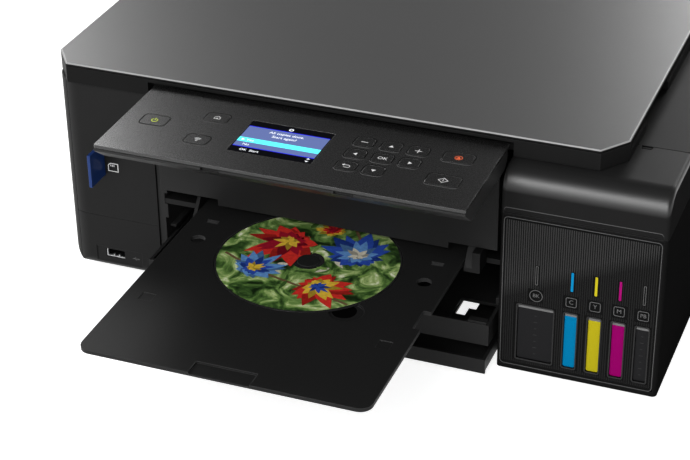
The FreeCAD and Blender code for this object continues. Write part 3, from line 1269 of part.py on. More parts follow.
def maintenance_station():
    """Capping and wiping station where the carriage parks, over the waste-ink box."""
    x0 = "tank_left + carriage_home"
    y0 = "front + carriage_front"
    box = block("waste_box", (x0 + " + 4", x0 + " + carriage_width - 4"), (y0 + " + 14", y0 + " + 92"),
                ("body_floor", "carriage_low - 12"))
    cap = block("cap_frame", (x0 + " + 20", x0 + " + 64"), (y0 + " + 26", y0 + " + 80"),
                ("carriage_low - 13", "carriage_low - nozzle_drop - 0.4"))
    well = block("cap_well", (x0 + " + 23", x0 + " + 61"), (y0 + " + 29", y0 + " + 77"),
                 ("carriage_low - 8", "carriage_low"))
    wiper = block("wiper", (x0 + " + 10", x0 + " + 12"), (y0 + " + 30", y0 + " + 76"),
                  ("carriage_low - 13", "carriage_low - nozzle_drop - 0.3"))
    node(fuse("maintenance_station", [box, cut("cap_cut", cap, [well]), wiper]))


def tube_path(points, bend):
    """A wire of straight runs joined by tangent arcs of one bend radius."""
    edges = []
    start = points[0]
    for before, corner, after in zip(points, points[1:], points[2:]):
        back = (before - corner).normalize()
        ahead = (after - corner).normalize()
        half = back.getAngle(ahead) / 2
        reach = bend / math.tan(half)
        enter = corner + back * reach
        leave = corner + ahead * reach
        centre = corner + (back + ahead).normalize() * (bend / math.sin(half))
        middle = centre + (corner - centre).normalize() * bend
        edges.append(Part.LineSegment(start, enter).toShape())
        edges.append(Part.Arc(enter, middle, leave).toShape())
        start = leave
    edges.append(Part.LineSegment(start, points[-1]).toShape())
    return Part.Wire(edges)


def ink_tubes():
    """Five tubes from the tanks, nested in one flat loop, to the top of the carriage."""
    tubes = []
    rows = tanks()
    radius, bend = number("tube_radius"), number("tube_bend")
    level = number("tube_height")
    loop_left = number("disc_x - tube_loop")
    for index, (name, middle, _, _) in enumerate(rows):
        lane = number("front + tank_back") + 6 + index * number("tube_pitch")
        home_lane = number("front + carriage_front") + 28 - index * number("tube_pitch")
        x = number(middle)
        turn_x = loop_left + index * number("tube_pitch")
        end_x = number("tank_left + carriage_home + tube_entry")
        spots = [
            (x, number("front + tank_back"), number("ink_top") - 8),
            (x, lane, number("ink_top") - 8),
            (x, lane, level),
            (turn_x, lane, level),
            (turn_x, home_lane, level),
            (end_x, home_lane, level),
        ]
        path = tube_path([FreeCAD.Vector(*spot) for spot in spots], bend)
        ring = Part.Wire(Part.Circle(FreeCAD.Vector(*spots[0]), FreeCAD.Vector(0, 1, 0), radius).toShape())
        tube = path.makePipeShell([ring], True, False)
        print("tube %s: volume %.1f, section times length %.1f"
              % (name, tube.Volume, math.pi * radius ** 2 * path.Length))
        tubes.append(tube)
    node(shape_part("ink_tubes", Part.makeCompound(tubes)))


# ------------------------------------------------------------------ electrics
def power_supply():
    """Power supply with its mains inlet, a two-pin socket in the back."""
    body = block("supply_box", ("chassis_x + sheet + 1", "opening_left - wall - play"),
                 ("chassis_back + 5", "inner_back - wall - 1"), ("body_floor", "low_wall_height - 6"))
    inlet = block("inlet_body", ("left + inlet_x", "left + inlet_x + inlet_width"),
                  ("inner_back - wall - 2", "back"),
                  ("inlet_z - inlet_height / 2", "inlet_z + inlet_height / 2"))
    socket = [
        block("inlet_socket", ("left + inlet_x + 3", "left + inlet_x + inlet_width - 3"),
              ("back - 10", "back + 1"), ("inlet_z - 4.5", "inlet_z + 4.5")),
    ]
    pins = [rod("inlet_pin_%d" % index, "y", "1.1", "left + inlet_x + inlet_width / 2 %s 4.3" % sign,
                ("back - 11", "back - 2"), "inlet_z") for index, sign in enumerate("-+")]
    node(fuse("power_supply", [cut("supply_cut", fuse("supply_blank", [body, inlet]), socket), *pins]))


def main_board():
    """Circuit board on stand-offs beside the inner wall, with its larger chips."""
    face = "opening_left - wall - 4"
    board = block("board_plate", (face + " - board_thickness", face), ("chassis_y + 20", "feed_axis_y - 18"),
                  ("body_floor + 6", "low_wall_height - 5"))
    pieces = [board]
    for index, (dy, dz, size, tall) in enumerate(((14, 14, 16, 1.6), (44, 20, 12, 1.4), (70, 16, 9, 7))):
        y, z = "chassis_y + 20 + %g" % dy, "body_floor + 6 + %g" % dz
        pieces.append(block("chip_%d" % index,
                            (face + " - board_thickness - %g" % tall, face + " - board_thickness"),
                            (y, y + " + %g" % size), (z, z + " + %g" % size)))
    for index, (dy, dz) in enumerate(((5, 5), (86, 5), (5, 40), (86, 40))):
        pieces.append(rod("standoff_%d" % index, "x", "2", (face, "opening_left - wall"),
                          "chassis_y + 20 + %g" % dy, "body_floor + 6 + %g" % dz))
    node(fuse("main_board", pieces))


def card_reader():
    """Small board behind the front covers, with the card slot and the USB socket."""
    wall = ("left_front + wall + seam", "left_front + 24")
    board = block("reader_board", ("left + card_x - 8", "opening_left - wall - seam"),
                  (wall[1], wall[1] + " + board_thickness"), ("body_floor + 8", "deck_height - 18"))
    slot_x = ("left + card_x - 4", "left + card_x + 4")
    slot = block("slot_housing", slot_x, wall, ("card_slot_height - 3", "card_slot_height + card_width + 3"))
    mouth = block("slot_mouth", ("left + card_x - 1.35", "left + card_x + 1.35"),
                  (wall[0] + " - 1", "left_front + 19"),
                  ("card_slot_height - 0.4", "card_slot_height + card_width + 0.4"))
    usb = block("usb_shell", ("left + usb_x + 0.4", "left + usb_x + 14"), wall,
                ("usb_height + 0.4", "usb_height + 6"))
    usb_mouth = block("usb_mouth", ("left + usb_x + 0.9", "left + usb_x + 13.5"),
                      (wall[0] + " - 1", wall[1] + " - 4"), ("usb_height + 0.9", "usb_height + 5.5"))
    tongue = block("usb_tongue", ("left + usb_x + 2", "left + usb_x + 12.4"),
                   (wall[0] + " + 2", wall[1]), ("usb_height + 3.6", "usb_height + 5"))
    holes = [mouth, usb_mouth]
    node(fuse("card_reader", [cut("reader_cut", fuse("reader_blank", [board, slot, usb]), holes), tongue]))


def memory_card():
    card = block("card_plate", ("left + card_x - card_thickness / 2", "left + card_x + card_thickness / 2"),
                 ("left_front - card_out", "left_front - card_out + card_length"),
                 ("card_slot_height", "card_slot_height + card_width"))
    node(cut("memory_card", card, [prism("card_corner", "YZ_Plane", [
        ("left_front - card_out + card_length - 4", "card_slot_height + card_width + 1"),
        ("left_front - card_out + card_length + 1", "card_slot_height + card_width - 4"),
        ("left_front - card_out + card_length + 1", "card_slot_height + card_width + 1")],
        "left + card_x - 3", "6")]))


# ------------------------------------------------------------------ build, test, write
def build():
    left_covers()
    base_frame()
    rear_cover()
    rear_feed_cover()
    screws()
    feet()
    fascia()
    disc_tray_guides()
    disc_tray()
    disc()
    main_cassette()
    upper_cassette()
    output_tray()
    wells = key_wells()
    panel_plate(wells)
    panel_housing(wells)
    display()
    keys()
    scanner_base()
    scanner_glass()
    scan_bar()
    scanner_lid()
    lid_pad()
    tank_housing()
    tank_front_panel()
    ink_tanks()
    tank_caps()
    tank_cover()
    tank_rear_top_cover()
    chassis_frame()
    carriage()
    drive_belts()
    belt_pulley()
    drive_motors()
    roller("feed_roller", "feed_radius", "feed_shaft", "feed_pulley", "feed_axis_y", "feed_axis_z",
           "roller_left - 8")
    roller("exit_roller", "exit_radius", "exit_shaft", "exit_pulley", "exit_axis_y", "exit_axis_z",
           "roller_left")
    platen()
    maintenance_station()
    ink_tubes()
    power_supply()
    main_board()
    card_reader()
    memory_card()
    doc.recompute()


def check():
    """Stops before anything is written if an object failed or a sub-part is empty or invalid."""
    for thing in doc.Objects:
        if "Invalid" in thing.State or "Error" in thing.State:
            raise RuntimeError("%s failed: %s" % (thing.Label, thing.State))
    for thing in NODES:
        if thing.Shape.isNull() or not thing.Shape.isValid() or not thing.Shape.Solids:
            raise RuntimeError("%s has no valid solid" % thing.Label)


def write():
    os.makedirs("parts", exist_ok=True)
    for thing in NODES:
        thing.Shape.exportStep(os.path.join("parts", thing.Label + ".step"))
    print("%d sub-parts written" % len(NODES))


build()
check()
write()
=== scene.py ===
# %% [markdown]
# # A disc label printer
# This notebook dresses a finished mechanical model of an ink-tank printer.  The solids come from a
# CAD package, each already in its place, so here we only choose finishes, print the signs, light the
# stage and set the camera.  All sizes are in millimetres until the moment they reach Blender.

# %% Load the frame
import bpy
import bmesh
import math
import random
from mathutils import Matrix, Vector


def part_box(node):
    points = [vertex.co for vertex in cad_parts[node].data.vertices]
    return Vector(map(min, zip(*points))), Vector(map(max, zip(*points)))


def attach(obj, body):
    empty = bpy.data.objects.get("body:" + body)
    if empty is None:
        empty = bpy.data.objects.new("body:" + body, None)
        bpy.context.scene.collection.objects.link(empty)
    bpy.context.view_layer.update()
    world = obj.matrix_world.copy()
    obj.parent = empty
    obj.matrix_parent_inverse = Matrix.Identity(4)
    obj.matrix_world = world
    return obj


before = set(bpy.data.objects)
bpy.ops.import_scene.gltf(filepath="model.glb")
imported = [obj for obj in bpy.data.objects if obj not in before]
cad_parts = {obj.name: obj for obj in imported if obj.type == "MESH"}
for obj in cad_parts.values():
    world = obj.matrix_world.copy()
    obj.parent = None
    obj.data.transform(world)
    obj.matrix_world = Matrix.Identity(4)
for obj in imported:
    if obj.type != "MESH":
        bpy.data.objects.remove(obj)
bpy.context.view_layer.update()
MM = 0.001

# %% [markdown]
# Blender counts in metres.  A tiny helper turns millimetres into a vector, and another one reads the
# box of a solid back in millimetres, so that every sign can sit on the piece that carries it.


# %% Measuring helpers
def at(x, y, z):
    """A point given in millimetres, as Blender wants it."""
    return Vector((x, y, z)) * MM


def span(node):
    """Lowest and highest corner of a solid, in millimetres."""
    low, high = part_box(node)
    return low / MM, high / MM


TANK_LEFT, TANK_FRONT = span("tank_housing")[0].x, span("tank_housing")[0].y
BLOCK_FRONT = span("left_upper_cover")[0].y
print("tank unit starts at x %.1f, y %.1f" % (TANK_LEFT, TANK_FRONT))

# %% [markdown]
# ## The camera
# A long lens a good metre away, a little right of the middle and looking down by thirty degrees.
# The lens follows from a focal length in pixels and the width of the picture.

# %% Camera
CAMERA_PLACE = (400.26, -1094.52, 718.57)
AZIMUTH, ELEVATION, ROLL = 21.538, 30.521, -0.848
FOCAL_PIXELS, PICTURE_WIDTH = 1953.87, 690
SENSOR = 36
FAR_END = 20

azimuth, elevation, roll = (math.radians(value) for value in (AZIMUTH, ELEVATION, ROLL))
back = Vector((math.sin(azimuth) * math.cos(elevation), -math.cos(azimuth) * math.cos(elevation),
               math.sin(elevation)))
level = Vector((math.cos(azimuth), math.sin(azimuth), 0))
rise = back.cross(level)
right = level * math.cos(roll) + rise * math.sin(roll)
up = -level * math.sin(roll) + rise * math.cos(roll)
lens = bpy.data.cameras.new("camera")
lens.sensor_width = SENSOR
lens.lens = FOCAL_PIXELS / PICTURE_WIDTH * SENSOR
lens.clip_end = FAR_END
camera = bpy.data.objects.new("camera", lens)
turn = camera.matrix_world.to_3x3()
for row in range(3):
    turn[row] = (right[row], up[row], back[row])
camera.matrix_world = turn.to_4x4()
camera.location = at(*CAMERA_PLACE)
bpy.context.scene.collection.objects.link(camera)
bpy.context.scene.camera = camera
print("lens %.1f mm" % lens.lens)

# %% [markdown]
# ## Moulded plastic
# Nearly everything here is dark injection-moulded plastic.  Three things make it read as real: a fine
# grain pressed in by the mould, a soft edge where two faces meet, and a slightly lighter line along
# that edge, which is a painted highlight.  The grain is a fine noise turned into a bump.  The soft edge
# comes from the Bevel node, which blends the normals near an edge without any new geometry, and the
# painted highlight comes from comparing that blended normal with the true one.


# %% Node helper
def add(tree, kind, inputs=None, **settings):
    """Adds a shader node, sets its options, then fills its inputs with values or links."""
    made = tree.nodes.new("ShaderNode" + kind)
    for key, value in settings.items():
        setattr(made, key, value)
    for key, value in (inputs or {}).items():
        if isinstance(value, bpy.types.NodeSocket):
            tree.links.new(value, made.inputs[key])
        else:
            made.inputs[key].default_value = value
    return made


def start_material(name):
    material = bpy.data.materials.new(name)
    material.use_nodes = True
    tree = material.node_tree
    return material, tree, tree.nodes["Principled BSDF"]


def grey(value, warmth=0.0):
    """A near-neutral colour; warmth tips it to red or, below nought, to blue."""
    return (value * (1 + warmth), value, value * (1 - warmth), 1)


# %% Plastic finish
PATCH_SCALE, BUMP_STRENGTH, ROUGH_SPREAD, COAT_ROUGH = 28.0, 0.5, 0.05, 0.12
# Where the blended normal parts from the true one, the colour turns lighter: a painted highlight along
# every edge.
EDGE_KEPT, EDGE_GLINT_FULL, GLINT_GAIN = 0.995, 0.9, 1.5


def mix_colour(tree, factor, first, second):
    """Mixes two colours or links; a Mix node keeps its colours in sockets 6 and 7 and output 2."""
    mixer = add(tree, "Mix", data_type="RGBA")
    for socket, value in ((mixer.inputs[0], factor), (mixer.inputs[6], first), (mixer.inputs[7], second)):
        if isinstance(value, bpy.types.NodeSocket):
            tree.links.new(value, socket)
        else:
            socket.default_value = value
    return mixer.outputs[2]


def plastic(name, colour, rough=0.45, grain=0.35, depth=0.08, edge=0.6, edge_glint=0.35, patch=0.12,
            coat=0.0, metallic=0.0, specular=0.2, shine=0.03, stretch=(1, 1, 1)):
    """Moulded plastic: grain size, grain depth and edge radius are in millimetres."""
    material, tree, shader = start_material(name)
    spot = add(tree, "TexCoord").outputs["Object"]
    scaled = add(tree, "Mapping", {"Vector": spot, "Scale": stretch}).outputs[0]
    fine = add(tree, "TexNoise", {"Vector": scaled, "Scale": 1 / (grain * MM), "Detail": 2.0})
    broad = add(tree, "TexNoise", {"Vector": spot, "Scale": PATCH_SCALE, "Detail": 3.0})
    edge_normal = add(tree, "Bevel", {"Radius": edge * MM}, samples=4).outputs[0]
    bump = add(tree, "Bump", {"Strength": BUMP_STRENGTH, "Distance": depth * MM,
                              "Height": fine.outputs[0], "Normal": edge_normal})
    true_normal = add(tree, "NewGeometry").outputs["Normal"]
    match = add(tree, "VectorMath", {0: edge_normal, 1: true_normal}, operation="DOT_PRODUCT")
    # Painted highlight: near an edge the colour is mixed towards a lighter tone, and shine lifts it
    # further.
    edge_glint_mask = add(tree, "MapRange", {"Value": match.outputs["Value"], "From Min": EDGE_KEPT,
                                  "From Max": EDGE_GLINT_FULL, "To Min": 0.0, "To Max": edge_glint})
    glint_colour = tuple(min(1, part * GLINT_GAIN + shine) for part in colour[:3]) + (1,)
    darker = tuple(part * (1 - patch) for part in colour[:3]) + (1,)
    body = mix_colour(tree, broad.outputs[0], darker, colour)
    tree.links.new(mix_colour(tree, edge_glint_mask.outputs[0], body, glint_colour), shader.inputs["Base Color"])
    ripple = add(tree, "MapRange", {"Value": fine.outputs[0], "To Min": rough - ROUGH_SPREAD,
                                    "To Max": rough + ROUGH_SPREAD})
    tree.links.new(ripple.outputs[0], shader.inputs["Roughness"])
    tree.links.new(bump.outputs[0], shader.inputs["Normal"])
    shader.inputs["Specular IOR Level"].default_value = specular
    shader.inputs["Coat Weight"].default_value = coat
    shader.inputs["Coat Roughness"].default_value = COAT_ROUGH
    shader.inputs["Metallic"].default_value = metallic
    return material


def dress(material, *nodes):
    """Gives solids a finish in place of the plain one that they came with."""
    for node in nodes:
        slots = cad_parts[node].data.materials
        slots.clear()
        slots.append(material)


def lean_of(tree):
    """How far a face leans: one when it looks up, nought when it stands upright."""
    return add(tree, "SeparateXYZ", {0: add(tree, "NewGeometry").outputs["Normal"]}).outputs["Z"]


def top_shine(material, upright, level):
    """Glossier where a face looks up, as covers are that hands and dust cloths polish."""
    tree, shader = material.node_tree, material.node_tree.nodes["Principled BSDF"]
    shine = add(tree, "MapRange", {"Value": lean_of(tree), "From Min": 0.1, "From Max": 0.8,
                                   "To Min": upright, "To Max": level})
    tree.links.new(shine.outputs[0], shader.inputs["Specular IOR Level"])
    return material


def round_shine(material, round_level, flat_level):
    """Glossiest on the rounded edge, where hands rub, and duller on the flat top beside it."""
    tree, shader = material.node_tree, material.node_tree.nodes["Principled BSDF"]
    rising = add(tree, "MapRange", {"Value": lean_of(tree), "From Min": 0.1, "From Max": 0.45,
                                    "To Min": 0.0, "To Max": round_level})
    flat = add(tree, "MapRange", {"Value": lean_of(tree), "From Min": 0.7, "From Max": 0.95,
                                  "To Min": 1.0, "To Max": flat_level / round_level})
    shine = add(tree, "Math", {0: rising.outputs[0], 1: flat.outputs[0]}, operation="MULTIPLY")
    tree.links.new(shine.outputs[0], shader.inputs["Specular IOR Level"])
    return material


def painted_rim_shading(material, side, line):
    """Painted shade on the upright sides and a painted highlight along the rounded edge, chosen by how far
    a face leans from level.
    """
    tree, shader = material.node_tree, material.node_tree.nodes["Principled BSDF"]
    upright = add(tree, "MapRange", {"Value": lean_of(tree), "From Min": 0.45, "From Max": 0.2})
    above = add(tree, "MapRange", {"Value": lean_of(tree), "From Min": 0.99, "From Max": 0.9})
    body = shader.inputs["Base Color"].links[0].from_socket
    lit = mix_colour(tree, above.outputs[0], body, line)
    tree.links.new(mix_colour(tree, upright.outputs[0], lit, side), shader.inputs["Base Color"])
    return material


# %% Case finishes
case = plastic("case_black", grey(0.01), rough=0.45, grain=0.5, depth=0.05, specular=0.05)
case_front = plastic("case_front", grey(0.0095), rough=0.42, grain=0.5, depth=0.04, specular=0.1)
cover_finish = plastic("cover_black", grey(0.018), rough=0.38, grain=0.5, depth=0.04, edge_glint=0.5)
tank_case = plastic("tank_case", grey(0.01), rough=0.5, grain=0.5, depth=0.04, specular=0.0, edge_glint=0.5)
# The fascia is painted lighter than the case front to lift the shade that the panel above casts on it.
fascia_shade_lift = plastic("fascia_black", grey(0.02), rough=0.42, grain=0.5, depth=0.04, specular=0.1)
slab_finish = plastic("slab_black", grey(0.014), rough=0.4, grain=0.5, depth=0.03, specular=0.01)
lid_finish = plastic("lid_grey", grey(0.06), rough=0.36, grain=0.3, depth=0.02, edge=0.9, specular=0.5,
                     edge_glint=0.9, patch=0.04, shine=0.25)
rear_finish = plastic("rear_black", grey(0.02), rough=0.55, grain=0.7, depth=0.1)
inner_finish = plastic("inner_black", grey(0.012), rough=0.5, grain=0.6, depth=0.05, specular=0.08)
frame_finish = plastic("frame_black", grey(0.022), rough=0.5, grain=0.6, depth=0.05, specular=0.1)
tray_finish = plastic("tray_grey", grey(0.018), rough=0.45, grain=0.5, depth=0.04, edge=0.5, specular=0.1,
                      edge_glint=0.6)
disc_tray_finish = plastic("disc_tray_black", grey(0.014), rough=0.5, grain=0.4, depth=0.04, edge=0.4,
                           specular=0.12, edge_glint=0.7, shine=0.06)
panel_finish = plastic("panel_black", grey(0.006), rough=0.27, grain=0.35, depth=0.006, edge=0.35,
                       specular=0.62, edge_glint=0.9, patch=0.05, shine=0.16)
housing_finish = plastic("housing_black", grey(0.025), rough=0.35, grain=0.5, depth=0.03, edge=0.6,
                         specular=0.12)
key_finish = plastic("key_black", grey(0.006), rough=0.27, grain=0.35, depth=0.006, edge=0.3, specular=0.5,
                     edge_glint=0.6, shine=0.05)
foot_finish = plastic("foot_rubber", grey(0.03), rough=0.8, grain=0.6, depth=0.2)

dress(case, "left_side_cover", "tank_rear_top_cover")
dress(tank_case, "tank_housing")
dress(slab_finish, "scanner_base")
dress(case_front, "left_upper_cover", "left_lower_cover", "disc_tray_guides")
dress(fascia_shade_lift, "front_fascia")
dress(round_shine(cover_finish, 0.75, 0.04), "tank_cover")
# The lid gets painted shade on its upright sides and a painted highlight along its rounded edge.
dress(top_shine(painted_rim_shading(lid_finish, grey(0.013), grey(0.42)), 0.02, 0.38), "scanner_lid")
dress(rear_finish, "rear_cover", "rear_feed_cover")
dress(frame_finish, "base_frame")
dress(inner_finish, "platen", "maintenance_station", "carriage", "scan_bar", "power_supply", "belt_pulley")
dress(tray_finish, "main_cassette", "upper_cassette", "output_tray")
dress(disc_tray_finish, "disc_tray")
dress(panel_finish, "panel_plate")
dress(housing_finish, "panel_housing")
KEYS = [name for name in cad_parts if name.endswith("_button")]
dress(key_finish, *KEYS)
dress(foot_finish, "feet")
print("keys:", len(KEYS))

# %% [markdown]
# ## Metal, rubber, glass and board
# Inside there is zinc-plated sheet, rubber rollers and belts, a green board and clear tubes.  They show
# only through gaps and when the covers open, but they still get their own grain: brushed metal is
# noise stretched along one axis, ground rubber a coarse noise.

# %% Inner finishes
BOARD_GREEN = (0.012, 0.09, 0.035, 1)
READER_BOARD = BLOCK_FRONT + 23.9
steel = plastic("zinc_steel", grey(0.5, -0.01), rough=0.38, grain=0.4, depth=0.01, edge_glint=0.1,
                metallic=0.9, stretch=(0.05, 1, 1))
rubber = plastic("roller_rubber", grey(0.03), rough=0.75, grain=0.5, depth=0.12)
belt_finish = plastic("belt_rubber", grey(0.02), rough=0.7, grain=0.6, depth=0.1)
board_finish = plastic("board_green", BOARD_GREEN, rough=0.35, grain=1.2, depth=0.05, patch=0.4)
tube_finish = plastic("tube_clear", grey(0.35, -0.03), rough=0.2, grain=1.0, depth=0.01, coat=0.5)
pad_finish = plastic("pad_white", grey(0.75, 0.01), rough=0.5, grain=0.4, depth=0.03, edge_glint=0.0)
card_finish = plastic("card_blue", (0.012, 0.04, 0.17, 1), rough=0.35, grain=0.4, depth=0.03, edge_glint=0.8)
dress(steel, "chassis_frame", "drive_motors", "screws")
dress(rubber, "feed_roller", "exit_roller")
dress(belt_finish, "drive_belts")
dress(board_finish, "main_board")


def reader():
    """Dark housings in front of a green board: the two meet at the board's front face."""
    material = plastic("reader_black", grey(0.006), rough=0.5, grain=0.6, depth=0.03, specular=0.1)
    tree, shader = material.node_tree, material.node_tree.nodes["Principled BSDF"]
    deep = add(tree, "SeparateXYZ", {0: add(tree, "TexCoord").outputs["Object"]}).outputs["Y"]
    behind = add(tree, "Math", {0: deep, 1: READER_BOARD * MM}, operation="GREATER_THAN")
    colour = shader.inputs["Base Color"].links[0].from_socket
    tree.links.new(mix_colour(tree, behind.outputs[0], colour, BOARD_GREEN), shader.inputs["Base Color"])
    return material


dress(reader(), "card_reader")
dress(tube_finish, "ink_tubes")
dress(pad_finish, "lid_pad")
dress(card_finish, "memory_card")


def clear_glass(name, tint):
    material, tree, shader = start_material(name)
    smear = add(tree, "TexNoise", {"Vector": add(tree, "TexCoord").outputs["Object"], "Scale": 60.0})
    rough = add(tree, "MapRange", {"Value": smear.outputs[0], "To Min": 0.02, "To Max": 0.08})
    tree.links.new(rough.outputs[0], shader.inputs["Roughness"])
    shader.inputs["Base Color"].default_value = tint
    shader.inputs["Transmission Weight"].default_value = 1.0
    shader.inputs["IOR"].default_value = 1.5
    return material


dress(clear_glass("glass_clear", (0.9, 0.95, 0.94, 1)), "scanner_glass")
INKS = {
    "black": (0.012, 0.012, 0.014, 1), "cyan": (0.0, 0.42, 0.72, 1), "yellow": (0.87, 0.8, 0.06, 1),
    "magenta": (0.78, 0.0, 0.36, 1), "photo_black": (0.015, 0.015, 0.018, 1),
}
for colour, tint in INKS.items():
    dress(plastic(colour + "_cap", tint, rough=0.5, grain=0.6, depth=0.05), colour + "_ink_cap")
dress(plastic("tank_smoke", grey(0.05, -0.05), rough=0.25, grain=1.0, depth=0.02, coat=0.4), "ink_tanks")
print("finishes:", len(bpy.data.materials))

# %% [markdown]
# ## Flat signs
# Printed signs are thin: a few hundredths of a millimetre of ink.  Each is drawn as flat shapes on a
# small sheet with its own two directions, then given a little thickness so that it is a closed mesh.
# Rings and outlines are strips between an outer and an inner loop; words come from Blender's own font.


# %% Shapes on a sheet
class Sheet:
    """Collects flat shapes in millimetres and turns them into one thin mesh."""

    def __init__(self):
        self.points, self.faces, self.tones = [], [], []

    def face(self, loop, tone=0):
        start = len(self.points)
        self.points += loop
        self.faces.append(tuple(range(start, start + len(loop))))
        self.tones.append(tone)

    def strip(self, outer, inner, closed=True, tone=0):
        start, count = len(self.points), len(outer)
        self.points += outer + inner
        for step in range(count if closed else count - 1):
            following = (step + 1) % count
            self.faces.append((start + step, start + following, start + count + following,
                               start + count + step))
            self.tones.append(tone)

    def box(self, x, y, width, height, turned=0, tone=0):
        corners = [(-1, -1), (1, -1), (1, 1), (-1, 1)]
        cosine, sine = math.cos(math.radians(turned)), math.sin(math.radians(turned))
        self.face([(x + a * width / 2 * cosine - b * height / 2 * sine,
                    y + a * width / 2 * sine + b * height / 2 * cosine) for a, b in corners], tone)

    def line(self, start, end, width, tone=0):
        length = math.dist(start, end)
        angle = math.degrees(math.atan2(end[1] - start[1], end[0] - start[0]))
        self.box((start[0] + end[0]) / 2, (start[1] + end[1]) / 2, length, width, angle, tone)

    def ring(self, x, y, radius, stroke, start=0, sweep=360, tone=0):
        count = max(12, int(sweep / 8))
        closed = sweep >= 360
        steps = count if closed else count + 1
        angles = [math.radians(start + sweep * step / count) for step in range(steps)]
        loops = [[(x + r * math.cos(a), y + r * math.sin(a)) for a in angles]
                 for r in (radius, radius - stroke)]
        self.strip(loops[0], loops[1], closed, tone)

    def outline(self, loop, stroke, tone=0):
        """A closed line of even width just inside a loop that turns to the left."""
        self.strip(loop, inset(loop, stroke), True, tone)

    def mesh(self, name, origin, across, upward, thickness):
        across, upward = Vector(across), Vector(upward)
        outward = across.cross(upward)
        built = bmesh.new()
        verts = [built.verts.new((Vector(origin) + across * x + upward * y) * MM) for x, y in self.points]
        for corners, tone in zip(self.faces, self.tones):
            built.faces.new([verts[corner] for corner in corners]).material_index = tone
        lifted = bmesh.ops.extrude_face_region(built, geom=built.faces[:])
        moved = [item for item in lifted["geom"] if isinstance(item, bmesh.types.BMVert)]
        bmesh.ops.translate(built, verts=moved, vec=outward * thickness * MM)
        bmesh.ops.recalc_face_normals(built, faces=built.faces)
        data = bpy.data.meshes.new(name)
        built.to_mesh(data)
        built.free()
        return data


SHARPEST = 0.35


def inset(loop, distance):
    """Moves every corner of a left-turning loop inwards, keeping its sides parallel."""
    moved = []
    for index, (x, y) in enumerate(loop):
        before, after = Vector(loop[index - 1]), Vector(loop[(index + 1) % len(loop)])
        first = (Vector((x, y)) - before).normalized()
        second = (after - Vector((x, y))).normalized()
        normal = Vector((-(first.y + second.y), first.x + second.x))
        normal.normalize()
        reach = distance / max(SHARPEST, normal.dot(Vector((-second.y, second.x))))
        moved.append((x + normal.x * reach, y + normal.y * reach))
    return moved


def rounded(x, y, width, height, radius, steps=6):
    """A rounded rectangle as a left-turning loop."""
    loop = []
    for corner, (a, b) in enumerate(((1, -1), (1, 1), (-1, 1), (-1, -1))):
        centre = (x + a * (width / 2 - radius), y + b * (height / 2 - radius))
        for step in range(steps + 1):
            angle = math.radians(-90 + 90 * corner + 90 * step / steps)
            loop.append((centre[0] + radius * math.cos(angle), centre[1] + radius * math.sin(angle)))
    return loop


# %% Placing a sign
INK_THICK = 0.03


def place(data, body, slot, *materials):
    """Links a mesh as a piece that rides on a body."""
    made = bpy.data.objects.new(data.name, data)
    for material in materials:
        data.materials.append(material)
    bpy.context.scene.collection.objects.link(made)
    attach(made, body)
    return made


def words(text, size, x, y, across, upward, origin):
    """Words as a thin mesh, centred on a point of the sheet."""
    curve = bpy.data.curves.new("words", "FONT")
    curve.body, curve.size = text, size * MM
    curve.align_x, curve.align_y = "CENTER", "CENTER"
    curve.extrude = INK_THICK / 2 * MM
    writer = bpy.data.objects.new("words", curve)
    bpy.context.scene.collection.objects.link(writer)
    data = bpy.data.meshes.new_from_object(writer)
    across, upward = Vector(across), Vector(upward)
    outward = across.cross(upward)
    base = (Vector(origin) + across * x + upward * y + outward * INK_THICK / 2) * MM
    for vertex in data.vertices:
        spot = vertex.co
        vertex.co = base + across * spot.x + upward * spot.y + outward * spot.z
    bpy.data.objects.remove(writer)
    return data


def join(name, parts):
    """Several meshes as one."""
    whole = bmesh.new()
    for part in parts:
        whole.from_mesh(part)
    data = bpy.data.meshes.new(name)
    whole.to_mesh(data)
    whole.free()
    return data


def ink(name, colour, glow=0.0, rough=0.45, specular=0.1, mottle=0.15, speck_size=0.4):
    """Printed ink or a lit picture: a faint mottle keeps it from looking flat."""
    material, tree, shader = start_material(name)
    speck = add(tree, "TexNoise", {"Vector": add(tree, "TexCoord").outputs["Object"],
                                   "Scale": 1 / (speck_size * MM), "Detail": 3.0})
    darker = tuple(part * (1 - mottle) for part in colour[:3]) + (1,)
    paint = mix_colour(tree, speck.outputs[0], darker, colour)
    tree.links.new(paint, shader.inputs["Base Color"])
    shader.inputs["Roughness"].default_value = rough
    shader.inputs["Specular IOR Level"].default_value = specular
    if glow:
        tree.links.new(paint, shader.inputs["Emission Color"])
        shader.inputs["Emission Strength"].default_value = glow
    return material


white_ink = ink("sign_white", grey(0.8))
green_ink = ink("sign_green", (0.6, 0.75, 0.04, 1), glow=0.3)
# The stop sign is printed; its glow is painted light.
orange_ink = ink("sign_orange", (0.8, 0.13, 0.04, 1), glow=0.2)
print("inks ready")

# %% [markdown]
# ## Signs on the keys
# Each key carries one plain sign, drawn about its own middle.  A small table names the drawing for
# every key; the drawings use only lines, rings and triangles.  Round each key runs a dark ring of
# painted shade where the gap is, and below it a lighter line, a painted highlight on the rim of the plate.

# %% Key signs
STROKE, BOLD = 0.42, 0.52


def power_sign(sheet):
    sheet.ring(0, -0.2, 2.2, BOLD, 125, 290)
    sheet.box(0, 1.5, BOLD, 2.4)


def home_sign(sheet):
    walls = [(-2.1, -1.7), (2.1, -1.7), (2.1, 0.6), (0, 2.5), (-2.1, 0.6)]
    sheet.outline(walls, STROKE)
    sheet.box(0, -0.85, 1.0, 1.5)


def network_sign(sheet):
    sheet.box(0, -1.7, 0.9, 0.9)
    for radius in (1.5, 2.6, 3.7):
        sheet.ring(0, -1.7, radius, STROKE, 50, 80)


def minus_sign(sheet):
    sheet.box(0, 0, 4.6, BOLD)


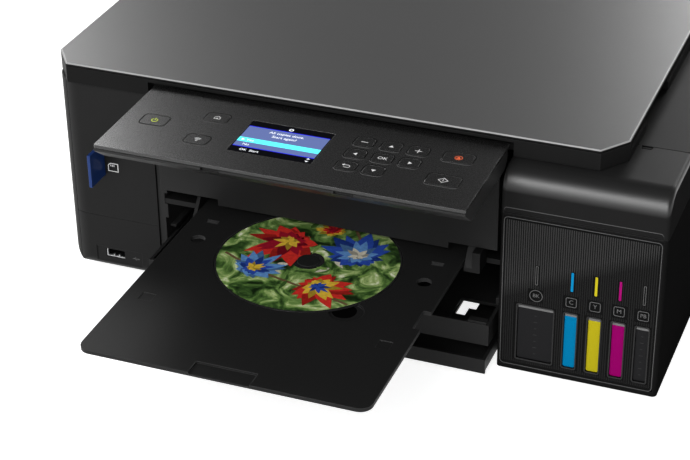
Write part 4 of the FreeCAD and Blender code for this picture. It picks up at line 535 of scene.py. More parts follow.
def plus_sign(sheet):
    sheet.box(0, 0, 4.6, BOLD)
    for side in (1, -1):
        sheet.box(0, side * 1.28, BOLD, 2.0)


def arrow_sign(angle):
    def draw(sheet):
        tips = [(1.5, 0), (-0.9, 1.6), (-0.9, -1.6)]
        turn_by = math.radians(angle)
        sheet.face([(x * math.cos(turn_by) - y * math.sin(turn_by),
                     x * math.sin(turn_by) + y * math.cos(turn_by)) for x, y in tips])
    return draw


def return_sign(sheet):
    sheet.face([(-3.0, 0.9), (-1.3, -0.3), (-1.3, 2.1)])
    sheet.line((-1.4, 0.9), (1.2, 0.9), STROKE)
    sheet.ring(1.2, -0.45, 1.56, STROKE, -90, 180)
    sheet.line((1.2, -1.8), (-1.2, -1.8), STROKE)


def stop_sign(sheet):
    sheet.ring(0, 0, 2.5, STROKE)
    sheet.face([(-1.5, -0.85), (1.5, -0.85), (0, 1.6)])
    sheet.box(0, -1.5, 2.2, 0.4)


def start_sign(sheet):
    sheet.outline([(3.4, 0), (0, 3.0), (-3.4, 0), (0, -3.0)], STROKE)
    sheet.box(0, 0, STROKE, 2.6)


SIGNS = {
    "power": (power_sign, green_ink), "home": (home_sign, white_ink), "network": (network_sign, white_ink),
    "minus": (minus_sign, white_ink), "plus": (plus_sign, white_ink), "up": (arrow_sign(90), white_ink),
    "down": (arrow_sign(-90), white_ink), "left": (arrow_sign(180), white_ink),
    "right": (arrow_sign(0), white_ink), "back": (return_sign, white_ink),
    "stop": (stop_sign, orange_ink), "start": (start_sign, white_ink),
}
EAST, NORTH, UPRIGHT = (1, 0, 0), (0, 1, 0), (0, 0, 1)


def key_top(name):
    low, high = span(name + "_button")
    return ((low.x + high.x) / 2, (low.y + high.y) / 2, high.z)


for name, (draw, paint) in SIGNS.items():
    sheet = Sheet()
    draw(sheet)
    data = sheet.mesh(name + "_sign", key_top(name), EAST, NORTH, INK_THICK)
    place(data, name + "_button", "key_black", paint)
print("drawn key signs:", len(SIGNS))

# %% Painted gap shade and rim highlight round the keys, and the word on the middle key
GAP, CORNER, GAP_SHADE_LINE, RIM_HIGHLIGHT_LINE = 0.4, 3.0, 0.6, 0.45
OK_SIZE = 4.4
plate_top = span("panel_plate")[1].z
outlines = Sheet()
for name in KEYS:
    low, high = span(name)
    wide, deep = high.x - low.x + 2 * GAP, high.y - low.y + 2 * GAP
    centre_x, centre_y = (low.x + high.x) / 2, (low.y + high.y) / 2
    outer = rounded(centre_x, centre_y, wide + 2 * GAP_SHADE_LINE, deep + 2 * GAP_SHADE_LINE, CORNER + GAP_SHADE_LINE)
    outlines.strip(outer, rounded(centre_x, centre_y, wide, deep, CORNER), tone=0)
    # The dark ring is painted shade in the gap round each key; the light strip along its front side is a
    # painted highlight on the plate's rim.
    front = [(x, y) for x, y in outer if y < centre_y - deep / 4]
    outlines.strip([(x, y - RIM_HIGHLIGHT_LINE) for x, y in sorted(front)], sorted(front), closed=False, tone=1)
key_gap_paints = [ink("key_gap_painted_shade", grey(0.002), rough=0.6, specular=0.0), ink("key_rim_painted_highlight", grey(0.13))]
data = outlines.mesh("key_gap_shading", (0, 0, plate_top), EAST, NORTH, INK_THICK)
place(data, "panel", "panel_black", *key_gap_paints)
ok_words = words("OK", OK_SIZE, 0, 0, EAST, NORTH, key_top("ok"))
ok_words.name = "ok_sign"
place(ok_words, "ok_button", "key_black", white_ink)
print("key outlines:", len(KEYS))

# %% [markdown]
# ## The screen
# A small colour screen under a clear window.  The picture is a plain menu: a dark bar above and below,
# a blue-grey field with two lines of words, and a bright bar on the chosen answer.  Each area is a
# thin sheet that glows a little, as a backlit screen does.

# %% Screen
screen_low, screen_high = span("display")
screen_mid = (screen_low + screen_high) / 2
SCREEN_PLACE = (screen_mid.x, screen_mid.y, screen_high.z)
SCREEN_W = screen_high.x - screen_low.x
SCREEN_H = screen_high.y - screen_low.y
SCREEN_EDGE = 0.6
GLOW, SCREEN_ROUGH = 0.8, 0.15
screen_glass = plastic("screen_glass", grey(0.003), rough=0.1, grain=2.0, depth=0.002, edge_glint=0, specular=0.1)
dress(screen_glass, "display")
screen_inks = [
    ink("screen_dark", (0.002, 0.002, 0.004, 1), 0, SCREEN_ROUGH),
    ink("screen_field", (0.09, 0.12, 0.28, 1), GLOW, SCREEN_ROUGH),
    ink("screen_choice", (0.1, 0.78, 0.82, 1), GLOW, SCREEN_ROUGH),
    ink("screen_line", (0.01, 0.01, 0.6, 1), GLOW, SCREEN_ROUGH),
    ink("screen_words", (0.85, 0.88, 0.92, 1), GLOW, SCREEN_ROUGH),
]
DARK, FIELD, CHOICE, LINE, WORDS = range(5)
picture = Sheet()
rows = ((-20.0, -13.4, DARK), (-13.4, -12.7, LINE), (-12.7, -6.9, FIELD), (-6.9, -1.4, CHOICE),
        (-1.4, 13.2, FIELD), (13.2, 13.9, LINE), (13.9, 20.0, DARK))
for low, high, tone in rows:
    picture.box(0, (low + high) / 2, SCREEN_W - 2 * SCREEN_EDGE, high - low, tone=tone)
data = picture.mesh("screen_picture", SCREEN_PLACE, EAST, NORTH, INK_THICK)
place(data, "panel", "screen", *screen_inks)
above = (SCREEN_PLACE[0], SCREEN_PLACE[1], SCREEN_PLACE[2] + INK_THICK)
lines = (("All copies done.", 3.6, 0, 9.3), ("Start again?", 3.6, 0, 4.6), ("Yes", 3.4, -19, -4.2),
         ("No", 3.4, -19.5, -9.9), ("OK  Start", 3.2, -14.5, -16.8))
data = join("screen_words", [words(text, size, x, y, EAST, NORTH, above) for text, size, x, y in lines])
place(data, "panel", "screen", screen_inks[WORDS])
marks = Sheet()
marks.face([(-24.6, -5.5), (-22.6, -4.2), (-24.6, -2.9)])
marks.ring(0, 16.6, 1.5, 0.6)
marks.face([(22.6, -15.2), (25.0, -15.2), (23.8, -13.9)])
marks.face([(22.6, -17.4), (23.8, -18.7), (25.0, -17.4)])
data = marks.mesh("screen_marks", above, EAST, NORTH, INK_THICK)
place(data, "panel", "screen", screen_inks[WORDS])
print("screen %.1f by %.1f mm" % (SCREEN_W, SCREEN_H))

# %% [markdown]
# ## The printed disc
# The disc carries a full-colour print: a bed of soft green leaves with a few bright flowers.  The
# green is a slow noise sent through a colour ramp, which looks like foliage out of focus.  Stems,
# leaves and petals are flat shapes stacked in thin layers, so that nearer ones cover those behind.


# %% Foliage and petals
FOLIAGE = (
    (0.36, (0.006, 0.016, 0.004, 1)), (0.44, (0.035, 0.085, 0.018, 1)), (0.52, (0.14, 0.26, 0.06, 1)),
    (0.6, (0.42, 0.55, 0.2, 1)), (0.68, (0.85, 0.88, 0.68, 1)),
)
PETAL_STEPS, PETAL_FULLNESS = 7, 0.75


def foliage(name):
    """Soft green leaves out of focus: slow noise sent through a ramp from near black to pale green."""
    material, tree, shader = start_material(name)
    surface = add(tree, "TexCoord").outputs["Object"]
    leaves = add(tree, "TexNoise", {"Vector": surface, "Scale": 60.0, "Detail": 6.0, "Roughness": 0.62,
                                    "Distortion": 1.2})
    ramp = add(tree, "ValToRGB", {0: leaves.outputs[0]})
    stops = ramp.color_ramp.elements
    stops[0].position, stops[0].color = FOLIAGE[0]
    stops[1].position, stops[1].color = FOLIAGE[-1]
    for spot, colour in FOLIAGE[1:-1]:
        stops.new(spot).color = colour
    tree.links.new(ramp.outputs[0], shader.inputs["Base Color"])
    shader.inputs["Roughness"].default_value = 0.3
    return material


def petal(angle, length, width, x, y):
    """A leaf-shaped loop that grows from a point in the direction of an angle."""
    half = []
    for step in range(PETAL_STEPS + 1):
        part = step / PETAL_STEPS
        half.append((length * part, width / 2 * math.sin(math.pi * part ** PETAL_FULLNESS)))
    loop = half + [(u, -v) for u, v in reversed(half[1:-1])]
    cosine, sine = math.cos(math.radians(angle)), math.sin(math.radians(angle))
    return [(x + u * cosine - v * sine, y + u * sine + v * cosine) for u, v in reversed(loop)]


# %% Print tones
PRINT_TONES = {
    "red": (0.85, 0.04, 0.03), "crimson": (0.42, 0.01, 0.03), "blue": (0.035, 0.1, 0.55),
    "sky": (0.16, 0.38, 0.8), "yellow": (1.0, 0.65, 0.06), "leaf": (0.25, 0.42, 0.1),
    "moss": (0.06, 0.14, 0.03), "twig": (0.2, 0.12, 0.06), "cream": (0.85, 0.8, 0.64),
}
RED, CRIMSON, BLUE, SKYBLUE, YELLOW, LEAF, MOSS, TWIG, CREAM = range(len(PRINT_TONES))
SHADE = len(PRINT_TONES)
FULL, SHADED = 1.0, 0.5
PRINT_MOTTLE, PRINT_SPECK = 0.6, 2.2
DISC_TONES = []
for shade in (FULL, SHADED):
    for name, colour in PRINT_TONES.items():
        shaded = tuple(part * shade for part in colour) + (1,)
        DISC_TONES.append(ink("print_%s_%d" % (name, len(DISC_TONES)), shaded, mottle=PRINT_MOTTLE,
                              speck_size=PRINT_SPECK))
print("print tones:", len(DISC_TONES))

# %% Disc sizes
disc_low, disc_high = span("disc")
DISC_RADIUS = (disc_high.x - disc_low.x) / 2
DISC_PLACE = ((disc_low.x + disc_high.x) / 2, (disc_low.y + disc_high.y) / 2, disc_high.z)
dress(plastic("disc_clear", grey(0.02), rough=0.12, grain=2.0, depth=0.002, edge_glint=0, coat=0.6), "disc")
print("disc radius: %.1f mm" % DISC_RADIUS)

# %% [markdown]
# The tray round the disc has small features of its own: a round finger hollow at the disc's edge, darkened
# with painted shade, two pale slots beside it, and a lip at the front whose edges carry a painted
# highlight.

# %% Tray details
TRAY_PLATE = 2.5
FINGER_X, FINGER_Y, FINGER_RADIUS, FINGER_DEPTH = 41.9, -44.9, 7.8, 1.6
SLOT_X, SLOT_Y, SLOT_WIDTH, SLOT_HEIGHT, SLOT_DEPTH = 78.2, 24.5, 7.6, 3.2, 0.8
GRIP_HALF, GRIP_DEEP, GRIP_LINE = 19.8, 12.3, 0.5
GRIP_SIDE_LOW, GRIP_SIDE_TOP = 3.5, 11.8
tray_corner = span("disc_tray")[0]
tray_centre = DISC_PLACE[:2]
tray_top = tray_corner.z + TRAY_PLATE
grip_front = tray_corner.y - tray_centre[1]
hollow, edges, patches = Sheet(), Sheet(), Sheet()
# The corner radius stays a hair under half the width, so that no side shrinks to nothing.
hollow.face(rounded(FINGER_X, FINGER_Y, 2 * FINGER_RADIUS, 2 * FINGER_RADIUS, FINGER_RADIUS - 0.01))
edges.box(0, grip_front + GRIP_DEEP, 2 * GRIP_HALF, GRIP_LINE)
for side in (-1, 1):
    patches.box(side * SLOT_X, SLOT_Y, SLOT_WIDTH, SLOT_HEIGHT)
    edges.box(side * GRIP_HALF, grip_front + (GRIP_SIDE_LOW + GRIP_SIDE_TOP) / 2, GRIP_LINE,
              GRIP_SIDE_TOP - GRIP_SIDE_LOW)
# The hollow's near black is painted shade; the grey lines on the lip are painted highlights.
hollow_painted_shade = ink("hollow_painted_shade", grey(0.002), rough=0.6, specular=0.0)
for sheet, name, sunk, paint in ((hollow, "finger_hollow", FINGER_DEPTH, hollow_painted_shade),
                                 (edges, "grip_highlight_lines", 0, ink("grip_edge_highlight", grey(0.045))),
                                 (patches, "slot_patches", SLOT_DEPTH, ink("patch_grey", grey(0.06)))):
    data = sheet.mesh(name, (*tray_centre, tray_top - sunk), EAST, NORTH, INK_THICK)
    place(data, "disc_tray", "disc_tray_black", paint)
print("tray top: %.1f mm" % tray_top)

# %% Disc picture
PRINT_EDGE, PRINT_HOLE, GROUND_STEPS = 1.2, 10.4, 120
LAYER = 0.005
ground = Sheet()
around = [math.radians(360 / GROUND_STEPS * step) for step in range(GROUND_STEPS)]
rims = [[(reach * math.cos(a), reach * math.sin(a)) for a in around]
        for reach in (DISC_RADIUS - PRINT_EDGE, PRINT_HOLE)]
ground.strip(*rims)
data = ground.mesh("disc_ground", DISC_PLACE, EAST, NORTH, INK_THICK)
place(data, "disc", "disc_print", foliage("print_foliage"))

SEED = 11
draws = random.Random(SEED)
stacked = []


def stack(loops, tone):
    """Adds one thin layer above the last one: shapes that overlap never share a layer."""
    layer = Sheet()
    for loop in loops:
        layer.face(loop, tone)
    stacked.append(layer)


STEMS = (
    ((-54, -8), (-26, -22)), ((-26, -22), (6, -30)), ((6, -30), (42, -40)), ((10, 54), (26, 30)),
    ((26, 30), (34, 6)),
)
STEM_WIDTH = 2.0
LEAVES, LEAF_RING, LEAF_LENGTHS, LEAF_WIDTHS = 36, (16, 44), (8, 14), (2, 4)
greens = Sheet()
for stem in STEMS:
    greens.line(*stem, STEM_WIDTH, TWIG)
stacked.append(greens)
for step in range(LEAVES):
    angle, radius = draws.uniform(0, 360), draws.uniform(*LEAF_RING)
    x, y = radius * math.cos(math.radians(angle)), radius * math.sin(math.radians(angle))
    leaf = petal(draws.uniform(0, 360), draws.uniform(*LEAF_LENGTHS), draws.uniform(*LEAF_WIDTHS), x, y)
    stack([leaf], draws.choice((LEAF, MOSS, CREAM, LEAF, MOSS)))
print("stems and leaves:", len(STEMS) + LEAVES)

# %% Blooms
BLOOMS = (
    (-20, 18, 36, (RED, CRIMSON, YELLOW)), (28, 16, 31, (BLUE, SKYBLUE, CREAM)),
    (17, -27, 28, (RED, YELLOW, BLUE)), (-30, -20, 25, (SKYBLUE, BLUE, YELLOW)),
    (2, 40, 16, (YELLOW, RED, CRIMSON)),
)
RINGS = ((1.0, 15), (0.66, 12), (0.36, 9))
RING_LAYERS, SHADED_LAYER = 3, 1
WOBBLE, MEAN_REACH, REACH_SWING = 12, 0.72, 0.28
PETAL_LENGTHS, PETAL_WIDTHS = (0.85, 1.0), (0.26, 0.4)
for x, y, size, tones in BLOOMS:
    lean = draws.uniform(0, 360)
    for (share, count), tone in zip(RINGS, tones):
        loops = []
        for step in range(count):
            angle = lean + 360 * step / count + draws.uniform(-WOBBLE, WOBBLE)
            drawn_out = MEAN_REACH + REACH_SWING * math.cos(math.radians(angle - lean))
            loops.append(petal(angle, size * share * drawn_out * draws.uniform(*PETAL_LENGTHS),
                               size * share * draws.uniform(*PETAL_WIDTHS), x, y))
        for part in range(RING_LAYERS):
            stack(loops[part::RING_LAYERS], tone + SHADE if part == SHADED_LAYER else tone)
layers = []
for level, layer in enumerate(stacked):
    origin = (DISC_PLACE[0], DISC_PLACE[1], DISC_PLACE[2] + (level + 1) * LAYER)
    layers.append(layer.mesh("print_layer", origin, EAST, NORTH, INK_THICK))
place(join("disc_blooms", layers), "disc", "disc_print", *DISC_TONES)
print("blooms:", len(BLOOMS))

# %% [markdown]
# ## The ink windows
# Five clear sight glasses stand in the windows of the tank unit's front.  Each is a rounded block
# whose lower part shows its ink and whose top strip is empty.  Around them the panel is covered with
# fine upright ribs, which stop at the windows, the letters and the coloured bars.

# %% Tank front sizes
panel_low, panel_high = span("tank_front_panel")
PANEL_FACE = panel_low.y
WINDOW_LOW, WINDOW_TOP, INK_LEVEL = 12.2, 52.8, 50.3
WINDOW_MID, WINDOW_TALL = (WINDOW_LOW + WINDOW_TOP) / 2, WINDOW_TOP - WINDOW_LOW
SIGHT_PROUD, SIGHT_BACK = 1.7, 2.72
WINDOWS = {
    "black": (24.8, 23.3), "cyan": (47.5, 8.2), "yellow": (62.72, 8.2), "magenta": (77.94, 8.2),
    "photo_black": (93.16, 8.2),
}
LETTERS = {"black": "BK", "cyan": "C", "yellow": "Y", "magenta": "M", "photo_black": "PB"}
LABEL_HEIGHT, LABEL_WIDE, LABEL_TALL = 61.2, 7.0, 6.8
BAR_LOW, BAR_TOP, BAR_WIDTH = 69.2, 82.9, 1.6
INK_TONES = {
    "black": (0.017, 0.017, 0.018, 1), "cyan": (0.0, 0.22, 0.47, 1), "yellow": (0.54, 0.46, 0.012, 1),
    "magenta": (0.32, 0.0, 0.135, 1), "photo_black": (0.017, 0.017, 0.018, 1),
}
empty_glass = ink("glass_empty", grey(0.2), rough=0.18)
face_origin = (0, PANEL_FACE, 0)
print("tank panel face at y %.1f" % PANEL_FACE)

# %% Sight glasses
PLAY, GLASS_CORNER, FILL_MARGIN = 0.5, 1.2, 5
TICKS, TICK_LONG, TICK_SHORT, TICK_STROKE = 7, 2.4, 1.4, 0.4
scale_grey = ink("scale_grey", grey(0.035))


def sight_glass(width):
    """A rounded block about its own middle line: ink up to its level, empty above it."""
    glass = Sheet()
    half = (width - PLAY) / 2
    loop = rounded(0, WINDOW_MID, width - PLAY, WINDOW_TALL - PLAY, GLASS_CORNER)
    wetted = [point for point in loop if point[1] < INK_LEVEL - FILL_MARGIN]
    filled = [(-half, INK_LEVEL)] + [point for point in wetted if point[0] < 0]
    filled += [point for point in wetted if point[0] > 0] + [(half, INK_LEVEL)]
    emptied = [(half, INK_LEVEL)] + [point for point in loop if point[1] > INK_LEVEL] + [(-half, INK_LEVEL)]
    glass.face(filled, 0)
    glass.face(emptied, 1)
    return glass


def scale_marks():
    ticks = Sheet()
    for step in range(TICKS):
        height = WINDOW_LOW + (INK_LEVEL - WINDOW_LOW) * (step + 1) / (TICKS + 1)
        ticks.box(0, height, TICK_LONG if step % 2 else TICK_SHORT, TICK_STROKE)
    return ticks


for name, (x, width) in WINDOWS.items():
    ink_tone = ink(name + "_level", INK_TONES[name], rough=0.3, specular=0.03)
    origin = (TANK_LEFT + x, PANEL_FACE + SIGHT_BACK, 0)
    data = sight_glass(width).mesh(name + "_sight_glass", origin, EAST, UPRIGHT, SIGHT_PROUD)
    place(data, "base", "tank_clear", ink_tone, empty_glass)
    if "black" in name:
        origin = (TANK_LEFT + x, PANEL_FACE + SIGHT_BACK - SIGHT_PROUD, 0)
        data = scale_marks().mesh(name + "_scale", origin, EAST, UPRIGHT, INK_THICK)
        place(data, "base", "tank_clear", scale_grey)
print("sight glasses:", len(WINDOWS))

# %% Frames, letters and bars
FRAME_GAP, FRAME_STROKE, FRAME_CORNER, FRAME_PROUD = 0.8, 0.8, 1.6, 0.35
LABEL_RING, LABEL_CORNER, LABEL_LINE, SIGN_PROUD = 4.25, 1.3, 0.35, 0.15
ONE_LETTER, TWO_LETTERS = 4.2, 3.7
BAR_CORNER, BAR_STEPS, BAR_LINE, BAR_PAINTED_GLOW = 0.4, 3, 0.3, 0.25
frames, signs = Sheet(), Sheet()
letter_parts = []
for name, (x, width) in WINDOWS.items():
    mid_x = TANK_LEFT + x
    frames.outline(rounded(mid_x, WINDOW_MID, width + 2 * FRAME_GAP, WINDOW_TALL + 2 * FRAME_GAP,
                           FRAME_CORNER), FRAME_STROKE)
    if name == "black":
        signs.ring(mid_x, LABEL_HEIGHT, LABEL_RING, LABEL_LINE)
    else:
        signs.outline(rounded(mid_x, LABEL_HEIGHT, LABEL_WIDE, LABEL_TALL, LABEL_CORNER), LABEL_LINE)
    size = ONE_LETTER if len(LETTERS[name]) == 1 else TWO_LETTERS
    letter_parts.append(words(LETTERS[name], size, mid_x, LABEL_HEIGHT, EAST, UPRIGHT, face_origin))
    bar_loop = rounded(mid_x, (BAR_LOW + BAR_TOP) / 2, BAR_WIDTH, BAR_TOP - BAR_LOW, BAR_CORNER, BAR_STEPS)
    if "black" in name:
        signs.outline(bar_loop, BAR_LINE)
    else:
        bar = Sheet()
        bar.face(bar_loop)
        data = bar.mesh(name + "_bar", face_origin, EAST, UPRIGHT, INK_THICK)
        # The bars are printed; their glow is painted light.
        place(data, "base", "tank_panel", ink(name + "_bar", INK_TONES[name], glow=BAR_PAINTED_GLOW))
sign_grey = ink("sign_grey", grey(0.16))
frame_data = frames.mesh("window_frames", face_origin, EAST, UPRIGHT, FRAME_PROUD)
place(frame_data, "base", "tank_panel", housing_finish)
place(signs.mesh("tank_signs", face_origin, EAST, UPRIGHT, SIGN_PROUD), "base", "tank_panel", sign_grey)
place(join("tank_letters", letter_parts), "base", "tank_panel", sign_grey)
print("tank letters:", len(letter_parts))

# %% [markdown]
# The ribs are cut where a window, a letter or a bar needs room.  They catch a broad sheen above a
# slanting line, as if a tall window were mirrored in them.

# %% Ribs
RIB_PITCH, RIB_WIDTH, RIB_PROUD, RIB_SHORTEST = 1.4, 0.75, 0.14, 1.0
RIB_LOW, RIB_TOP, RIB_MARGIN = 9.0, 113.0, 2.2
SHEEN_SLOPE, SHEEN_START, SHEEN_SOFT = 0.45, 60.0, 5.0
# Room left free beside and above each sign, past its half width and its ends.
WINDOW_ROOM, LABEL_ROOM, BAR_ROOM = (1.2, 1.4), (1.2, 4.8), (0.4, 0.6)
clearings = []
for x, width in WINDOWS.values():
    for half, low, top, room in ((width / 2, WINDOW_LOW, WINDOW_TOP, WINDOW_ROOM),
                                 (LABEL_WIDE / 2, LABEL_HEIGHT, LABEL_HEIGHT, LABEL_ROOM),
                                 (BAR_WIDTH / 2, BAR_LOW, BAR_TOP, BAR_ROOM)):
        clearings.append((x, half + room[0], low - room[1], top + room[1]))
ribs = Sheet()
first_rib, last_rib = panel_low.x + RIB_MARGIN, panel_high.x - RIB_MARGIN
count = int((last_rib - first_rib) / RIB_PITCH)
for step in range(count + 1):
    x = first_rib + step * (last_rib - first_rib) / count
    stops = sorted((low, top) for mid, half, low, top in clearings
                   if abs(x - TANK_LEFT - mid) < half + RIB_WIDTH / 2)
    start = RIB_LOW
    for low, top in stops + [(RIB_TOP, RIB_TOP)]:
        if low - start > RIB_SHORTEST:
            ribs.box(x, (start + low) / 2, RIB_WIDTH, low - start)
        start = max(start, top)


def slanting_sheen(material, below, above):
    """Brighter above a line that rises to the right across the tank panel."""
    tree, shader = material.node_tree, material.node_tree.nodes["Principled BSDF"]
    spot = add(tree, "SeparateXYZ", {0: add(tree, "TexCoord").outputs["Object"]})
    slanted = add(tree, "Math", {0: spot.outputs["X"], 1: -SHEEN_SLOPE}, operation="MULTIPLY")
    height = add(tree, "Math", {0: spot.outputs["Z"], 1: slanted.outputs[0]}, operation="ADD")
    line = SHEEN_START - SHEEN_SLOPE * panel_low.x
    sheen = add(tree, "MapRange", {"Value": height.outputs[0], "From Min": (line - SHEEN_SOFT) * MM,
                                   "From Max": (line + SHEEN_SOFT) * MM})
    tree.links.new(mix_colour(tree, sheen.outputs[0], below, above), shader.inputs["Base Color"])
    return material


dress(plastic("tank_panel_face", grey(0.005), rough=0.35, grain=0.6, depth=0.02, edge=0.4, specular=0.03),
      "tank_front_panel")
rib_face = plastic("tank_panel_ribs", grey(0.022), rough=0.35, grain=0.6, depth=0.02, edge=0.1, edge_glint=0,
                   specular=0.04)
slanting_sheen(rib_face, grey(0.015), grey(0.042))
place(ribs.mesh("panel_ribs", face_origin, EAST, UPRIGHT, RIB_PROUD), "base", "tank_panel", rib_face)
print("ribs:", count + 1)

# %% Panel lines: painted highlights on the edge of the panel's groove and on the lip under the cover
LINE_WIDTH, LINE_PROUD, LINE_INSET, LINE_CORNER = 0.45, 0.06, 0.1, 2.9
LIP_MIDDLE, LIP_TALL, LIP_CORNER, LIP_CUT = 2.5, 4.4, 2.1, 2.4
lines = Sheet()
panel_wide, panel_tall = panel_high.x - panel_low.x, panel_high.z - panel_low.z
panel_x, panel_z = (panel_low.x + panel_high.x) / 2, (panel_low.z + panel_high.z) / 2
lines.outline(rounded(panel_x, panel_z, panel_wide - 2 * LINE_INSET, panel_tall - 2 * LINE_INSET,
                      LINE_CORNER), LINE_WIDTH)
cover_low = span("tank_cover")[0].z
lip = rounded(panel_x, cover_low + LIP_MIDDLE, panel_wide, LIP_TALL, LIP_CORNER)
upper = [point for point in lip if point[1] > cover_low + LIP_CUT]
lines.strip(upper, [(x, z - LINE_WIDTH) for x, z in upper], closed=False)
data = lines.mesh("panel_lines", face_origin, EAST, UPRIGHT, LINE_PROUD)
# The light grey lines are painted highlights along the groove edges.
place(data, "base", "tank_panel", ink("groove_highlight_grey", grey(0.11)))
print("panel %.1f by %.1f mm" % (panel_wide, panel_tall))

# %% [markdown]
# ## Signs beside the card slot and the data port
# A small square with a notched card inside marks the slot, and a fork-shaped sign marks the port.  The
# port itself gets its bright sheet-metal rim.

# %% Left block signs
CARD_X, CARD_Z, CARD_LINE = -172.0, 85.0, 0.55
CARD_OUTLINE = [(-3.9, -3.2), (3.9, -3.2), (3.9, 3.2), (-2.0, 3.2), (-3.9, 1.5)]
PORT_X, PORT_Z, PORT_LINE, BRANCH_LINE, PORT_RECESS = -160.3, 14.4, 0.35, 0.3, 0.8
RIM_X, RIM_Z, RIM_WIDTH, RIM_HEIGHT, RIM_STROKE = -176.0, 15.5, 13.6, 5.6, 0.7
SHELL_START, SHELL_LENGTH = 2.75, 1.6
card = Sheet()
card.outline(CARD_OUTLINE, CARD_LINE)
for step in range(3):
    card.box(-1.7 + 1.2 * step, 1.3, CARD_LINE, 1.3)
data = card.mesh("card_sign", (CARD_X, BLOCK_FRONT, CARD_Z), EAST, UPRIGHT, INK_THICK)
place(data, "base", "case_black", white_ink)
port = Sheet()
port.line((-2.6, 0), (1.8, 0), PORT_LINE)
port.face([(2.8, 0), (1.7, 0.6), (1.7, -0.6)])
port.line((-1.4, 0.1), (-0.2, 1.3), BRANCH_LINE)
port.line((-0.6, -0.1), (0.5, -1.2), BRANCH_LINE)
data = port.mesh("port_sign", (PORT_X, BLOCK_FRONT + PORT_RECESS, PORT_Z), EAST, UPRIGHT, INK_THICK)
place(data, "base", "case_black", sign_grey)
rim = Sheet()
rim.box(0, (RIM_STROKE - RIM_HEIGHT) / 2, RIM_WIDTH, RIM_STROKE)
rim.box((RIM_STROKE - RIM_WIDTH) / 2, RIM_STROKE / 2, RIM_STROKE, RIM_HEIGHT - RIM_STROKE)
for contact in (-1.5, 2.5):
    rim.box(contact, -1.2, 0.9, 0.9)
data = rim.mesh("port_rim", (RIM_X, BLOCK_FRONT + SHELL_START, RIM_Z), EAST, UPRIGHT, SHELL_LENGTH)
place(data, "base", "sheet_steel", steel)
print("left block signed")

# %% [markdown]
# ## The stage
# A white floor and a low white backdrop around it.  The camera, and every mirror-like or clear surface,
# sees them at full white.  For soft light the surround is dimmer, and above the backdrop hangs a dark
# ceiling, so that the black case stays black.  The floor keeps its shadow, because only a part of its
# brightness is its own.

# %% Floor
FLOOR_RADIUS, FLOOR_SIDES = 8.0, 96
FLOOR_DARK, FLOOR_LIGHT, FLOOR_GLOW, FLOOR_ROUGH = 0.78, 0.8, 0.8, 0.8
SPECKLE_SCALE = 300.0


def seen_directly(tree):
    """One where the ray comes from the camera, a reflection or a clear material, otherwise nought."""
    path = add(tree, "LightPath")
    either = add(tree, "Math", {0: path.outputs["Is Camera Ray"], 1: path.outputs["Is Glossy Ray"]},
                 operation="MAXIMUM")
    return add(tree, "Math", {0: either.outputs[0], 1: path.outputs["Is Transmission Ray"]},
               operation="MAXIMUM").outputs[0]


floor_mesh = bmesh.new()
bmesh.ops.create_circle(floor_mesh, cap_ends=True, segments=FLOOR_SIDES, radius=FLOOR_RADIUS)
floor_data = bpy.data.meshes.new("floor")
floor_mesh.to_mesh(floor_data)
floor = bpy.data.objects.new("floor", floor_data)
bpy.context.scene.collection.objects.link(floor)
floor_finish, tree, shader = start_material("floor_pale")
speckle = add(tree, "TexNoise", {"Scale": SPECKLE_SCALE})
pale = mix_colour(tree, speckle.outputs[0], grey(FLOOR_DARK), grey(FLOOR_LIGHT))
tree.links.new(pale, shader.inputs["Base Color"])
shader.inputs["Roughness"].default_value = FLOOR_ROUGH
shader.inputs["Specular IOR Level"].default_value = 0.0
shader.inputs["Emission Color"].default_value = grey(1.0)
own = add(tree, "Math", {0: seen_directly(tree), 1: FLOOR_GLOW}, operation="MULTIPLY")
tree.links.new(own.outputs[0], shader.inputs["Emission Strength"])
floor_data.materials.append(floor_finish)
print("floor radius: %.0f m" % FLOOR_RADIUS)

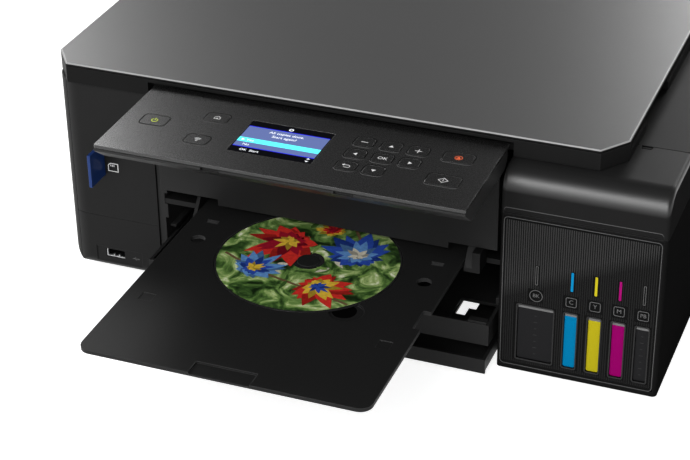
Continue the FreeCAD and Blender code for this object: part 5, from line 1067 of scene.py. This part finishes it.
# %% Surround
AMBIENT, CEILING = 0.3, 0.05
BACKDROP_FULL, BACKDROP_END = 0.1, 0.3
world = bpy.data.worlds.new("surround")
bpy.context.scene.world = world
world.use_nodes = True
tree = world.node_tree
ambient = tree.nodes["Background"]
ambient.inputs["Color"].default_value = grey(1.0)
ceiling = add(tree, "MapRange", {"Value": add(tree, "LightPath").outputs["Is Glossy Ray"],
                                 "To Min": AMBIENT, "To Max": CEILING})
tree.links.new(ceiling.outputs[0], ambient.inputs["Strength"])
backdrop = add(tree, "Background", {"Color": grey(1.0), "Strength": 1.0})
looked = add(tree, "SeparateXYZ", {0: add(tree, "TexCoord").outputs["Generated"]})
low = add(tree, "MapRange", {"Value": looked.outputs["Z"], "From Min": BACKDROP_END,
                             "From Max": BACKDROP_FULL})
share = add(tree, "Math", {0: low.outputs[0], 1: seen_directly(tree)}, operation="MULTIPLY")
chosen = add(tree, "MixShader", {0: share.outputs[0], 1: ambient.outputs[0], 2: backdrop.outputs[0]})
tree.links.new(chosen.outputs[0], tree.nodes["World Output"].inputs[0])
print("surround:", len(tree.nodes), "nodes")


# %% Lamps
def lamp(name, spot, aim, width, height, watts):
    light = bpy.data.lights.new(name, "AREA")
    light.shape, light.size, light.size_y, light.energy = "RECTANGLE", width, height, watts
    made = bpy.data.objects.new(name, light)
    made.location = spot
    made.rotation_euler = (Vector(aim) - Vector(spot)).to_track_quat("-Z", "Y").to_euler()
    bpy.context.scene.collection.objects.link(made)


lamp("left_softbox", (-1.28, 1.18, 1.05), (-0.1, -0.15, 0.12), 0.6, 0.6, 13)
lamp("right_softbox", (0.25, 1.85, 0.85), (0.1, 0.2, 0.16), 0.8, 0.5, 17)
lamp("front_softbox", (0.2, -1.7, 0.85), (0, 0, 0.08), 1.6, 0.9, 14)
lamp("top_softbox", (-0.25, -1.18, 1.08), (0.1, 0, 0.1), 1.0, 0.25, 9.5)
bpy.context.scene.view_settings.view_transform = "Standard"
print("lamps:", len(bpy.data.lights))
